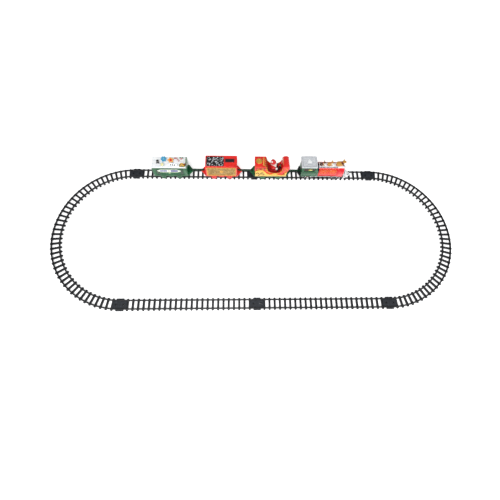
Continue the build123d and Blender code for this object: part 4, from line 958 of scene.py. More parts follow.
def wagon_frame(wagon, colour, rim):
    """Deck with its wheel guards: rounded edges, rims and bolts on the guards, and a rim round each hole."""
    node = f"{wagon}_wagon_frame"
    low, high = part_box(node)
    centre = (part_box(f"{wagon}_wagon_front_wheelset")[0].x
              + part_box(f"{wagon}_wagon_rear_wheelset")[1].x) / 2
    start = Vector((centre, (low.y + high.y) / 2, 0))
    shape = Shape(node + "_platform", start)
    shape.take(softened(node, 0.3), colour)
    for side, place in SIDES:
        for end in (-1, 1):
            guard_details(shape, side, place, end * WHEELBASE / 2, rim, colour)
        # spring box between the guards
        shape.prism(oblong(13.0, 4.2, 0.8, 3), 16.2, 17.7, colour, place, (0, 0, 19.6), soft=0.3)
        for x in (-4.2, -1.4, 1.4, 4.2):
            shape.prism(oblong(1.5, 3.0, 0.5, 2), 17.5, 18.1, rim, place, (x, 0, 19.6), soft=0.2)
    for x, tip in ((low.x, -1), (high.x, 1)):
        hole = x / MM - start.x / MM - tip * 4.6
        if tip < 0 and wagon == "green":
            continue                # the last wagon has no rear ear
        shape.frame(disc(4.0, 28), disc(2.7, 28), DECK_TOP - 0.4, DECK_TOP + 0.45, colour, LEVEL,
                    (hole, 0, 0), soft=0.2)
        edge = [(hole - tip * 9.5, -11.5), (hole - tip * 2, -5.4), (hole - tip * 2, 5.4),
                (hole - tip * 9.5, 11.5)]
        rail = [(Vector((u, v, DECK_TOP + 0.05)), 0.45) for u, v in edge[:2]]
        other = [(Vector((u, v, DECK_TOP + 0.05)), 0.45) for u, v in edge[2:]]
        piping(shape, [rail, other], colour, 8)
    shape.keep(f"{wagon}_wagon", node)


def wagon_drawbar(wagon):
    """Coupling bar with its eye and a headed peg."""
    node = f"{wagon}_wagon_drawbar"
    low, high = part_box(node)
    shape = Shape(node + "_bar", standing(node))
    shape.take(softened(node, 0.25), "deep_green_plastic")
    half = (high.x - low.x) / 2 / MM
    top = high.z / MM
    shape.turned([(2.5, top - 1.4), (2.4, top - 0.5), (1.6, top - 0.1), (0.6, top - 0.05)],
                 "deep_green_plastic", LEVEL, (half - 3.4, 0, 0), 24)
    shape.keep(f"{wagon}_wagon_coupling", node)


build_wagon_wheels()
wagon_frame("green", "green_plastic", "deep_green_plastic")
wagon_frame("red", "red_plastic", "dark_red_plastic")
wagon_frame("sleigh", "green_plastic", "deep_green_plastic")
for towed in ("green", "red", "sleigh"):
    wagon_drawbar(towed)


# ---------------------------------------------------------------- locomotive
# Lengths along the locomotive are counted from its rear axle.

IN_WALL = 17.8                  # raised trim starts here, just inside a flank 18 mm from the middle
FRONT_AXLE = 75.0
CRANK_R = 2.8
CRANK_TURN = {-1: 90.0, 1: 0.0}   # the two sides are a quarter turn apart
BARREL_R, BARREL_Z = 17.0, 39.5
BARREL_START, BARREL_END = 25.8, 78.0
CROWN_LOW = 54.6                # where the white of the crown starts


def rounded_flank(side, lift=0.0):
    """Maps a drawing onto the boiler's side: along it, and up from its middle height over the curve."""
    r = BARREL_R + lift

    def place(u, v):
        if v < 0:
            return Vector((u, side * r, BARREL_Z + v))
        return Vector((u, side * r * cos(v / BARREL_R), BARREL_Z + r * sin(v / BARREL_R)))
    return place


def rivets(shape, points, finish_name, size=0.5):
    """Domed rivets at (point, turn) pairs."""
    dome = Shape("rivet", Vector())
    dome.turned([(size, -0.1), (size * 0.95, size * 0.35), (size * 0.5, size * 0.62)], finish_name, steps=8)
    scatter(shape, dome, [(point, turn, (1, 1, 1)) for point, turn in points], finish_name)


def barrel_rivets(shape, x, r, finish_name, low, high, step):
    """A ring of rivets round the barrel between two angles."""
    points = []
    for angle in range(low, high, step):
        a = radians(angle)
        points.append((Vector((x, r * cos(a), BARREL_Z + r * sin(a))), (angle - 90, 0, 0)))
    rivets(shape, points, finish_name, 0.45)


def loco_frame():
    node = "loco_frame"
    shape = Shape(node + "_chassis", standing("loco_rear_wheelset"))
    shape.take(softened(node, 0.3), "frame_black")
    for side, place in SIDES:
        turn = -side

        def lay(u, v, level=17.0):
            return place @ Vector((turn * u, v, level))

        arcs = []
        for x in (0, FRONT_AXLE):
            arcs.append([(lay(x + 8.6 * cos(radians(a)), AXLE_Z + 8.6 * sin(radians(a))), 0.6)
                         for a in range(12, 169, 12)])
            shape.turned([(2.6, 16.4), (2.4, 17.2), (1.2, 17.5)], "rod_silver", place, (x, 0, AXLE_Z), 20)
        # two hand rails along the running board, on short posts
        for start, stop in ((5.0, 31.5), (34.5, 62.0)):
            arcs.append([(lay(start, 26.4, 17.9), 0.7), (lay(stop, 26.4, 17.9), 0.7)])
            shape.ball(lay(start, 26.4, 17.9), (1.0, 1.0, 1.0), "rod_silver", 12)
            shape.ball(lay(stop, 26.4, 17.9), (1.0, 1.0, 1.0), "rod_silver", 12)
        piping(shape, arcs, "rod_silver", 10)
        # cylinder block ahead of the front wheel
        shape.prism(oblong(8.0, 6.5, 1.6, 4), 14.6, 17.2, "frame_black", place, lay(90.5, 17.5, 0),
                    soft=0.4)
        shape.turned([(2.2, 17.0), (2.0, 17.6), (0.8, 17.8)], "rod_silver", place, lay(90.5, 17.5, 0), 20)
        rivets(shape, [(lay(x, 23.0, 16.8), OUTWARD[side]) for x in range(-20, 98, 6)],
               "frame_black", 0.45)
    shape.keep("locomotive", node)


def loco_cab():
    node = "loco_cab"
    start = standing("loco_rear_wheelset")
    shape = Shape(node + "_shell", start)
    shape.take(softened(node, 0.45), "green_plastic")
    middle_x, middle_z, width, height = -2.0, 56.6, 30.0, 13.0
    for side, place in SIDES:
        turn = -side
        shape.frame(oblong(width + 3.2, height + 3.2, 2.6, 4), oblong(width + 0.4, height + 0.4, 2.0, 4),
                    17.7, 18.55,
                    "green_plastic", place, (middle_x, 0, middle_z), soft=0.2)
        shape.frame(oblong(40.0, 17.0, 1.6, 4), oblong(37.6, 14.6, 1.0, 4), IN_WALL, 18.4,
                    "deep_green_plastic", place,
                    (1.0, 0, 35.0), soft=0.15)
        shape.prism(oblong(45.0, 1.5, 0.5, 2), IN_WALL, 18.6, "green_plastic", place, (1.0, 0, 46.2),
                    soft=0.25)
        shape.prism(oblong(45.0, 1.5, 0.5, 2), IN_WALL, 18.5, "green_plastic", place, (1.0, 0, 25.9),
                    soft=0.25)
        post = [(turn * u, v) for u, v in ((15.4, 47.4), (21.9, 47.4), (18.2, 56.0), (16.6, 65.4),
                                           (15.4, 65.4))]
        shape.prism(post, IN_WALL, 18.5, "teal_plastic", place, soft=0.25)
        rivets(shape, [(Vector((x, side * 18.5, 46.2)), OUTWARD[side])
                       for x in range(-18, 22, 5)], "green_plastic", 0.4)
    # rear wall: window frame, side panels and the switch's surround
    back = Matrix(((0, 0, -1), (-1, 0, 0), (0, 1, 0)))
    shape.frame(oblong(19.0, 14.0, 4.0, 5), oblong(16.4, 11.4, 3.0, 5), 21.8, 22.5, "green_plastic", back,
                (0, 0, 56.5), soft=0.2)
    for y in (-12.6, 12.6):
        shape.prism(oblong(5.0, 34.0, 0.8, 3), 21.8, 22.2, "deep_green_plastic", back, (0, y, 46.0),
                    soft=0.15)
    shape.frame(oblong(15.0, 8.4, 1.0, 3), oblong(9.2, 4.4, 0.4, 3), 21.8, 22.3, "deep_green_plastic", back,
                (0, 0, 42.0), soft=0.15)
    shape.keep("locomotive", node)


def loco_windows():
    node = "loco_cab_windows"
    shape = Shape(node + "_panes", standing("loco_rear_wheelset"))
    shape.take(softened(node, 0.2), "window_tint")
    for _, place in SIDES:
        shape.prism(disc(6.0, 32, (0, 0), 0.36), 17.0, 17.55, "amber_lens", place, (0.5, 0, 55.8), soft=0.2)
        for x in (-9.2, 5.2):
            shape.prism(oblong(0.9, 12.0, 0.3, 2), 16.9, 17.4, "brown_enamel", place, (x, 0, 56.6),
                        soft=0.15)
    shape.keep("locomotive", node)


def loco_roof():
    node = "loco_cab_roof"
    low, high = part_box(node)
    shape = Shape(node + "_shell", standing(node))
    length, width, top = (high.x - low.x) / MM, (high.y - low.y) / MM, high.z / MM
    shape.take(softened(node, 0.4), "silver_paint")
    outer, inner = oblong(length - 8.4, width - 7.6, 2.0, 4), oblong(length - 9.6, width - 8.8, 1.6, 4)
    shape.frame(outer, inner, top - 0.6, top - 0.32, "grey_enamel")
    shape.frame(oblong(length - 0.6, width - 0.6, 3.0, 5), oblong(length - 2.0, width - 2.0, 2.6, 5),
                top - 2.2, top - 0.6,
                "silver_paint", soft=0.3)
    # plain white badge with three small grey bars
    badge = [(-6.0, -6.5), (6.0, -6.5), (6.8, -5.6), (0.9, 6.2), (-0.9, 6.2), (-6.8, -5.6)]
    shape.prism(badge, top - 0.55, top - 0.18, "white_enamel", LEVEL, (0.5, 2.0, 0), soft=0.12)
    for x in (-4.0, 0.0, 4.0):
        shape.prism(oblong(2.6, 1.1, 0.5, 3), top - 0.55, top - 0.2, "grey_enamel", LEVEL,
                    (x + 0.5, -8.0, 0), soft=0.1)
    edge = [(Vector((x, y, top - 0.95)), (0, 0, 0)) for x in range(-18, 19, 6)
            for y in (-width / 2 + 1.6, width / 2 - 1.6)]
    rivets(shape, edge, "silver_paint", 0.4)
    shape.keep("locomotive", node)


def boiler_scrolls(start, stop):
    """Scroll lines for the boiler's flank, in lengths from the rear axle and heights from its middle."""
    span = stop - start
    lines = []
    for n, (share, size, way) in enumerate(((0.10, 4.6, 1), (0.30, 5.2, -1), (0.52, 4.8, 1),
                                            (0.73, 5.2, -1),
                                            (0.92, 4.2, 1))):
        u = start + span * share
        lines.append((curl((u, 8.0 + 1.5 * way), size, 0.7, 90 * way, 400 * way), 0.75))
    lines.append((wave([(start + span * s, 8.0 + 6.0 * (-1) ** n) for n,
                        s in enumerate((0.02, 0.2, 0.41, 0.62, 0.83, 0.99))]),
                  0.8))
    for n in range(7):
        u = start + span * (n + 0.5) / 7
        lines.append((wave([(u - 1.6, -1.4), (u, 0.4), (u + 2.4, -2.0)]), 0.55))
    return lines


def loco_boiler():
    node = "loco_boiler_shell"
    shape = Shape(node + "_barrel", standing("loco_rear_wheelset"))
    shape.take(softened(node, 0.25), "red_plastic")
    for side in (-1, 1):
        place = rounded_flank(side, 0.15)
        for start, stop in ((29.5, 52.0), (55.5, 74.0)):
            piping(shape, [tapered(line, thick, place) for line, thick in boiler_scrolls(start, stop)],
                   "orange_relief")
        under = rounded_flank(side, 0.25)
        piping(shape, [[(under(x, 17.6), 0.5) for x in (BARREL_START + 2.5, BARREL_END - 0.6)]],
               "dark_red_plastic")
        piping(shape, [[(under(x, -12.4), 0.6) for x in (BARREL_START + 0.6, BARREL_END - 0.6)]],
               "dark_red_plastic")
    barrel_rivets(shape, 53.8, BARREL_R + 0.5, "red_plastic", 0, 40, 10)
    shape.keep("locomotive", node)


def loco_smokebox():
    node = "loco_smokebox"
    shape = Shape(node + "_drum", standing("loco_rear_wheelset"))
    shape.take(softened(node, 0.35), "bright_red_plastic")
    r = 17.6
    for x in (80.0, 94.0):
        for side in (-1, 1):
            ring = [(Vector((x, side * (r + 0.1), 27.0)), 0.5),
                    (Vector((x, side * (r + 0.1), BARREL_Z)), 0.5)]
            ring += [(Vector((x, side * (r + 0.1) * cos(radians(a)),
                              BARREL_Z + (r + 0.1) * sin(radians(a)))), 0.5)
                     for a in range(8, 40, 6)]
            piping(shape, [ring], "bright_red_plastic", 10)
            points = [(Vector((x + (1.8 if x < 90 else -1.8), side * r * cos(radians(a)),
                               BARREL_Z + r * sin(radians(a)))),
                       ((a - 90) if side > 0 else (90 - a), 0, 0)) for a in range(0, 38, 9)]
            rivets(shape, points, "bright_red_plastic", 0.45)
    shape.keep("locomotive", node)


def loco_top():
    """White crown with pipes, filler caps and a row of studs."""
    node = "loco_boiler_top"
    shape = Shape(node + "_crown", standing("loco_rear_wheelset"))
    skin = shape.take(softened(node, 0.25), "white_plastic")
    # the red of the barrel and the smokebox reaches up to the flat of the crown
    shape.mark([face for face in skin if face.calc_center_median().z < CROWN_LOW
                and face.calc_center_median().x < BARREL_END], "red_plastic")
    shape.mark([face for face in skin if face.calc_center_median().z < CROWN_LOW
                and face.calc_center_median().x > BARREL_END], "bright_red_plastic")

    def crown(x, angle, lift=0.3):
        a = radians(angle)
        r = BARREL_R + lift
        return Vector((x, r * cos(a), BARREL_Z + r * sin(a)))

    for side in (-1, 1):
        angle = 90 + side * 22
        pipe = [(crown(x, angle + side * bend, 0.6), 0.8) for x, bend in
                ((27.5, 6), (32, 0), (47, 0), (50, 5), (64, 5), (67, 0), (76.5, 0))]
        piping(shape, [pipe], "grey_enamel", 10)
        for x in (34, 45, 55, 62, 72):
            shape.ball(crown(x, angle + (2 * side), 0.5), (1.1, 1.1, 1.0), "white_plastic", 12)
        piping(shape, [[(crown(x, 90 + side * 27, 0.25), 0.5) for x in (26.4, 77.4)]], "blue_grey_enamel",
               8)
    for x in (42.4, 63.5):
        shape.turned([(4.2, 56.0), (4.0, 57.4), (2.9, 58.2), (2.6, 58.2), (1.1, 58.9)], "white_plastic",
                     LEVEL, (x, 0, 0), 28)
    for x in (48.0, 58.0):
        spots = [(crown(x, angle, 0.25), (angle - 90, 0, 0)) for angle in range(66, 118, 8)]
        rivets(shape, spots, "white_plastic", 0.45)
    for x in (79.4, 94.4):
        spots = [(crown(x, angle, 0.85), (angle - 90, 0, 0)) for angle in range(44, 138, 10)]
        rivets(shape, spots, "white_plastic", 0.45)
    shape.keep("locomotive", node)


def loco_front():
    node = "loco_front_cap"
    shape = Shape(node + "_door", standing("loco_rear_wheelset"))
    shape.take(softened(node, 0.3), "white_plastic")
    shape.frame(disc(13.2, 48), disc(12.2, 48), 97.6, 98.9, "grey_enamel", ACROSS, (0, 0, BARREL_Z),
                soft=0.2)
    spots = []
    for n in range(16):
        a = 2 * pi * n / 16
        spots.append((Vector((98.0, 14.6 * cos(a), BARREL_Z + 14.6 * sin(a))), (0, 90, 0)))
    rivets(shape, [spot for spot in spots if spot[0].z > 25.5], "white_plastic", 0.5)
    for z in (34.0, 31.0):
        shape.prism(oblong(8.0, 1.2, 0.5, 3, (0, z)), 98.6, 99.3, "rod_silver", ACROSS, soft=0.2)
    shape.keep("locomotive", node)
    node = "loco_headlamp"
    shape = Shape(node + "_glass", standing("loco_rear_wheelset"))
    at = (0, 0, 44.0)
    shape.turned([(4.15, 97.3), (4.2, 101.2), (3.9, 101.9), (3.4, 101.9), (3.2, 101.2), (3.0, 100.4)],
                 "rod_silver",
                 ACROSS, at, 36)
    shape.turned([(3.3, 100.0), (3.25, 101.0), (2.6, 101.6), (1.4, 102.0), (0.4, 102.1)], "lens", ACROSS,
                 at, 36)
    shape.keep("locomotive", node)


def pilot_point(share, top):
    nose, back = (108.0, 102.0) if top else (127.5, 102.0)
    return Vector((nose + (back - nose) * abs(share), 15.0 * share, 31.0 if top else 10.6))


def cowcatcher():
    """White slatted wedge between a top and a bottom rail."""
    node = "loco_cowcatcher"
    shape = Shape(node + "_slats", standing("loco_rear_wheelset"))
    shape.prism(oblong(2.4, 31.6, 0.5, 3, (101.8, 0)), 21.6, 24.4, "white_plastic", soft=0.3)
    paths = []
    for top in (True, False):
        paths.append([(pilot_point(share / 6, top), 1.08) for share in range(-6, 7)])
    for slat in range(-6, 7):
        share = slat / 6
        low, high = pilot_point(share, False), pilot_point(share, True)
        bow = low.lerp(high, 0.45) + Vector((-0.8 * (1 - abs(share)), 0, -0.7))
        paths.append([(point, 0.78) for point in (low, low.lerp(bow, 0.55), bow, bow.lerp(high, 0.55),
                                                  high)])
    piping(shape, paths, "white_plastic", 10)
    for share in (-1, 0, 1):
        for top in (True, False):
            shape.ball(pilot_point(share, top), (1.08, 1.08, 1.08), "white_plastic", 14)
    shape.keep("locomotive", node)


def side_rods():
    for name, place in (("right", NEAR), ("left", FAR)):
        node = f"loco_side_rod_{name}"
        low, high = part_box(node)
        start = standing(node)
        start.y = standing("loco_frame").y
        shape = Shape(node + "_bar", start)
        shape.take(softened(node, 0.2), "rod_silver")
        middle = (0, 0, (low.z + high.z) / 2 / MM)
        shape.prism(oblong(FRONT_AXLE * 0.54, 0.9, 0.3, 2), 14.3, 14.58, "rod_silver", place, middle,
                    soft=0.1)
        shape.keep(f"side_rod_{name}", node)


def loco_wheels():
    for node, body in (("loco_rear_wheelset", "loco_rear_wheels"),
                       ("loco_front_wheelset", "loco_front_wheels")):
        pins = [(side, CRANK_R * cos(radians(angle)), CRANK_R * sin(radians(angle)))
                for side, angle in CRANK_TURN.items()]
        wheelset(node, body, 8.4, "wheel_plastic", "red_plastic", pins)


loco_frame()
loco_cab()
loco_windows()
loco_roof()
loco_boiler()
loco_smokebox()
loco_top()
loco_front()
cowcatcher()
side_rods()
loco_wheels()


# ---------------------------------------------------------------- green wagon

def green_tub():
    node = "green_wagon_tub"
    low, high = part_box(node)
    shape = Shape(node + "_shell", standing(node))
    half = (high.x - low.x) / 2 / MM
    shape.take(softened(node, 0.45), "green_plastic")
    for side, place in SIDES:
        # deep green fields as painted shade in the recesses beside the plaque, mouldings round them and a row
        # of studs along the sill
        for end in (-1, 1):
            middle = (end * (half - 14.6), 0, 0)
            field = oblong(8.4, 24.0, 1.0, 3, (0, 41.5))
            shape.prism(field, IN_WALL, 18.12, "deep_green_plastic", place, middle, soft=0.1)
            shape.frame(oblong(10.4, 26.0, 1.6, 3, (0, 41.5)), field, IN_WALL, 18.5,
                        "green_plastic", place, middle, soft=0.15)
            for z in (34.0, 41.5, 49.0):
                shape.turned([(1.5, 18.0), (1.3, 18.5), (0.5, 18.7)], "green_plastic", place,
                             (end * (half - 5.0), 0, z), 20)
        shape.prism(oblong(2 * half - 36, 1.6, 0.5, 2, (0, 31.6)), IN_WALL, 18.6, "green_plastic", place,
                    soft=0.25)
        shape.prism(oblong(2 * half - 36, 1.2, 0.4, 2, (0, 35.0)), IN_WALL, 18.4, "deep_green_plastic",
                    place, soft=0.2)
        stud = Shape("stud", Vector())
        stud.turned([(0.7, 0), (0.65, 0.3), (0.3, 0.5)], "green_plastic", steps=8)
        turn = OUTWARD[side]
        row = [((x, side * 18.65, 26.6), turn, (1, 1, 1)) for x in range(-int(half) + 6, int(half) - 4, 6)]
        scatter(shape, stud, row, "green_plastic")
    # arched moulding and a round boss on the gable
    arch = wave([(-14, 61.5), (-9.5, 67.4), (0, 68.8), (9.5, 67.4), (14, 61.5)])
    piping(shape, [tapered(arch, 0.55, lambda u, v: (half - 1.75, u, v)),
                   tapered(arch, 0.55, lambda u, v: (half - 0.35, u, v))], "pale_green_enamel")
    shape.turned([(3.0, half - 0.3), (2.6, half + 0.0), (0.8, half + 0.0)], "pale_green_enamel", ACROSS,
                 (0, 0, 63.4), 24)
    shape.keep("green_wagon", node)


def green_plaques():
    """Long white plaques with a pale green border and two groups of violet strokes."""
    node = "green_wagon_plaques"
    shape = Shape(node + "_boards", standing(node))
    middle_z = 47.5
    edge = wave([(-31.5, 0), (-29.5, 3.6), (-25.0, 4.6), (-22.5, 6.9), (0, 7.3), (22.5, 6.9), (25.0, 4.6),
                 (29.5, 3.6),
                 (31.5, 0)], 6)
    outline = edge[:-1] + [(u, -v) for u, v in reversed(edge[1:])]
    boss = disc(5.6, 28, (0, -9.0), 0.9)
    for side, place in SIDES:
        at = (0, 0, middle_z)
        shape.prism(boss, 18.02, 18.75, "green_plastic", place, at, soft=0.3)
        shape.prism(outline, 18.02, 18.8, "white_enamel", place, at, soft=0.25)
        shape.prism(disc(2.6, 20, (0, -9.6)), 18.7, 19.0, "yellow_plastic", place, at, soft=0.15)

        def lay(u, v, level=18.82):
            return place @ Vector((u, v, level)) + Vector(at)

        border = [(u * 0.955, v * 0.84) for u, v in outline]
        piping(shape, [[(lay(u, v), 0.42) for u, v in border + border[:1]]], "pale_green_enamel")
        for group in (-14.5, 14.0):
            field = oblong(19.0, 8.2, 2.0, 4, (group, 0.2))
            shape.prism(field, 18.72, 18.86, "lilac_enamel", place, at, soft=0.05)
        stroke = Shape("stroke", Vector())
        stroke.prism(oblong(1.5, 6.4, 0.5, 2), -0.2, 0.2, "violet_enamel", soft=0.1)
        turn = (90, 0, 0) if side < 0 else (90, 0, 180)
        heights = (1.0, 0.62, 0.85, 0.7, 1.05, 0.6, 0.9)
        places = []
        for group in (-14.5, 14.0):
            for n, height in enumerate(heights):
                places.append((lay(group + (n - 3) * 2.5, 0.4 * (-1) ** n), turn, (1, height, 1)))
        scatter(shape, stroke, places, "violet_enamel")
        for u in (-1.6, 1.6):
            shape.prism(star(5, 1.9, 0.9), 18.75, 19.05, "yellow_plastic", place, lay(u, 0.2, 0), soft=0.1)
    shape.keep("green_wagon", node)


def snow_heap():
    """Loose snow: a lumpy top that falls away to the tub's walls."""
    node = "green_wagon_snow_load"
    low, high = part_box(node)
    shape = Shape(node + "_heap", standing(node))
    half_x, half_y = (high.x - low.x) / 2 / MM, (high.y - low.y) / 2 / MM
    bottom, top = low.z / MM + 0.02, high.z / MM + 0.6
    rim, over = 59.9, 1.9           # the heap laps over the tub's rim
    across, along = 32, 92
    rings = []
    for i in range(along + 1):
        x = (half_x + over) * (2 * i / along - 1)
        ring = []
        for j in range(across + 1):
            y = (half_y + over) * (2 * j / across - 1)
            lumps = 0.5 + 0.5 * noise.fractal(Vector((x * 0.16, y * 0.16, 3.7)), 0.8, 2.1, 4)
            edge = min((half_x + over - abs(x)) / 5.0, (half_y + over - abs(y)) / 4.0, 1.0)
            rise = sin(edge * pi / 2)
            ring.append((x, y, rim + 0.25 + (top - rim - 0.25) * rise * (0.35 + 0.65 * lumps)))
        deep = bottom if abs(x) < half_x - 0.1 else rim - 0.02
        rings.append(ring + [(x, half_y + over, rim), (x, half_y - 0.1, rim), (x, half_y - 0.1, deep),
                             (x, 0.1 - half_y, deep), (x, 0.1 - half_y, rim), (x, -half_y - over, rim)])
    shape.loft(rings, "snow_white")
    shape.keep("green_wagon", node)


# ---------------------------------------------------------------- red wagon

def red_box():
    node = "red_wagon_box"
    low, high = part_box(node)
    shape = Shape(node + "_shell", standing(node))
    half_x, half_y, top = (high.x - low.x) / 2 / MM, (high.y - low.y) / 2 / MM, high.z / MM
    shape.take(softened(node, 0.4), "red_plastic")
    # raised border round the roof, with a strake across it
    shape.frame(oblong(2 * half_x - 1.4, 2 * half_y - 1.4, 1.8, 4),
                oblong(2 * half_x - 5.4, 2 * half_y - 5.0, 0.8, 4),
                top - 0.3, top + 0.95, "red_plastic", soft=0.35)
    shape.prism(oblong(1.8, 2 * half_y - 4.4, 0.3, 2, (9.6, 0)), top - 0.3, top + 0.7, "red_plastic",
                soft=0.25)
    for _, place in SIDES:
        for z in (25.9, 66.2):
            shape.prism(oblong(2 * half_x - 3.2, 1.3, 0.4, 2, (0, z)), half_y - 0.2, half_y + 0.6,
                        "red_plastic", place,
                        soft=0.25)
    for end in (-1, 1):
        face = end * half_x
        for y in (-9.5, 0.0, 9.5):
            slat = oblong(6.6, 32.0, 0.8, 3, (y, 46.0))
            shape.prism(slat, min(face, face - 0.25 * end) - 0.15, max(face, face - 0.25 * end) + 0.15,
                        "dark_red_plastic", ACROSS, soft=0.12)
    shape.keep("red_wagon", node)


def red_roof_panels():
    """A large flecked black panel and a plain dark strip, each with a thin rim."""
    node = "red_wagon_roof_panels"
    low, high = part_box(node)
    centre = standing("red_wagon_box")
    shape = Shape(node + "_films", centre)
    bottom, top = low.z / MM, high.z / MM
    shape.prism(oblong(46.6, 30.6, 0.8, 3, (-16.4, -0.5)), bottom, top, "black_panel", soft=0.12)
    rim = oblong(46.0, 30.0, 0.6, 3, (-16.4, -0.5)), oblong(44.6, 28.6, 0.4, 3, (-16.4, -0.5))
    shape.frame(*rim, top - 0.1, top + 0.25, "frame_black")
    shape.prism(oblong(27.6, 11.6, 0.6, 3, (21.6, 2.5)), bottom, top, "frame_black", soft=0.12)
    shape.frame(oblong(27.0, 11.0, 0.5, 3, (21.6, 2.5)), oblong(25.6, 9.6, 0.4, 3, (21.6, 2.5)), top - 0.1,
                top + 0.2,
                "dark_red_plastic")
    shape.keep("red_wagon", node)


def quarter_scrolls(width, height):
    """Scroll lines for one quarter of a panel of that size, drawn from its middle outwards."""
    w, h = width / 2, height / 2
    return [
        (wave([(0.12 * w, 0.1 * h), (0.3 * w, 0.62 * h), (0.52 * w, 0.66 * h), (0.66 * w, 0.3 * h),
               (0.84 * w, 0.12 * h)]),
         1.0),
        (curl((0.84 * w, 0.36 * h), 0.24 * h, 0.05 * h, -90, 420), 0.8),
        (curl((0.36 * w, 0.36 * h), 0.26 * h, 0.05 * h, 80, -400), 0.8),
        (wave([(0.52 * w, 0.66 * h), (0.68 * w, 0.82 * h), (0.86 * w, 0.84 * h)]), 0.7),
        (curl((0.9 * w, 0.7 * h), 0.14 * h, 0.04 * h, 90, -330, 14), 0.6),
        (wave([(0.1 * w, 0.72 * h), (0.2 * w, 0.9 * h), (0.36 * w, 0.86 * h)]), 0.65),
        (curl((0.1 * w, 0.86 * h), 0.1 * h, 0.03 * h, -60, 320, 12), 0.5),
    ]


def mirrored_scrolls(width, height, place, thick):
    """Piping paths of the scrolls in all four quarters."""
    return [tapered([(u * su, v * sv) for u, v in line], thick * share, place)
            for line, share in quarter_scrolls(width, height) for su in (-1, 1) for sv in (-1, 1)]


def red_plaques():
    """Gilt frames round darker fields with scrollwork and a centre ornament."""
    node = "red_wagon_plaques"
    shape = Shape(node + "_panels", standing(node))
    middle_z, width, height = 45.6, 79.0, 39.0
    for side, place in SIDES:
        at = (0, 0, middle_z)
        outer, inner = oblong(width - 0.4, height - 0.4, 1.6, 5), oblong(width - 7, height - 7, 1.0, 5)
        shape.frame(outer, inner, 18.04, 19.2, "gold_plating", place, at, soft=0.35)
        shape.frame(oblong(width - 3, height - 3, 1.2, 5), oblong(width - 4.4, height - 4.4, 1.0, 5), 19.1,
                    19.28,
                    "old_gold", place, at)
        shape.prism(oblong(width - 6.6, height - 6.6, 0.8, 4), 18.04, 18.5, "old_gold", place, at, soft=0.1)

        def lay(u, v):
            return place @ Vector((u, v, 18.55)) + Vector(at)

        piping(shape, mirrored_scrolls(width - 9, height - 8, lay, 0.62), "worn_gold")
        shape.turned([(4.6, 18.4), (4.4, 18.9), (3.6, 19.05), (3.3, 18.75), (2.2, 18.75), (1.8, 19.1),
                      (0.7, 19.25)],
                     "gold_plating", place, at, 36)
        bead = Shape("bead", Vector())
        bead.ball((0, 0, 0), (0.5, 0.5, 0.4), "gold_plating", 8)
        turn = OUTWARD[side]
        places = [(lay(5.9 * cos(2 * pi * n / 16), 5.9 * sin(2 * pi * n / 16)), turn, (1, 1, 1))
                  for n in range(16)]
        places += [(place @ Vector((u, v, 18.9)) + Vector(at), turn, (1.5, 1.5, 1.0))
                   for u in (-37.4, 37.4) for v in (-17.4, 0, 17.4)]
        scatter(shape, bead, places, "gold_plating")
    shape.keep("red_wagon", node)


# ---------------------------------------------------------------- sleigh wagon

def sleigh_base():
    """Scalloped band with a beaded edge and scrolls towards the rear."""
    node = "sleigh_wagon_base"
    shape = Shape(node + "_band", standing(node))
    shape.take(softened(node, 0.25), "yellow_plastic")
    centre = 44.0
    edge = wave([(1.8, 47.2), (26, 46.2), (33, 37.2), (42, 31.8), (50, 35.2), (55, 38.2), (60, 35.2),
                 (68, 29.4), (76, 29.4),
                 (82, 37.2), (86.4, 44.6)], 6)
    for side, place in SIDES:
        turn = -side

        def lay(u, v, level=18.25):
            return place @ Vector((turn * (u - centre), v, level))

        piping(shape, [[(lay(u, v - 0.5), 0.5) for u, v in edge]], "gold_plating")
        paths = []
        for u, v, size, first in ((7, 38, 4.6, 0), (17, 39, 5.2, 180), (24.5, 32.5, 3.2, 20),
                                  (10.5, 29.8, 2.8, 200)):
            paths.append(tapered(curl((u, v), size, 0.6, first, 430), 0.7, lay))
        paths.append(tapered(wave([(3, 33), (7, 42.5), (13, 33), (20, 44), (25, 36)]), 0.6, lay))
        paths.append(tapered(wave([(44, 27.5), (52, 31.5), (58, 31.5), (66, 27)]), 0.5, lay))
        paths.append(tapered(curl((80.5, 32.5), 3.4, 0.6, 180, -400), 0.6, lay))
        piping(shape, paths, "brown_enamel")
        bead = Shape("bead", Vector())
        bead.ball((0, 0, 0), (0.6, 0.6, 0.4), "cream_enamel", 8)
        places = [(lay(u, 26.6), (90, 0, 0), (1, 1, 1)) for u in range(4, 86, 4)]
        scatter(shape, bead, places, "cream_enamel")
    shape.keep("sleigh_wagon", node)


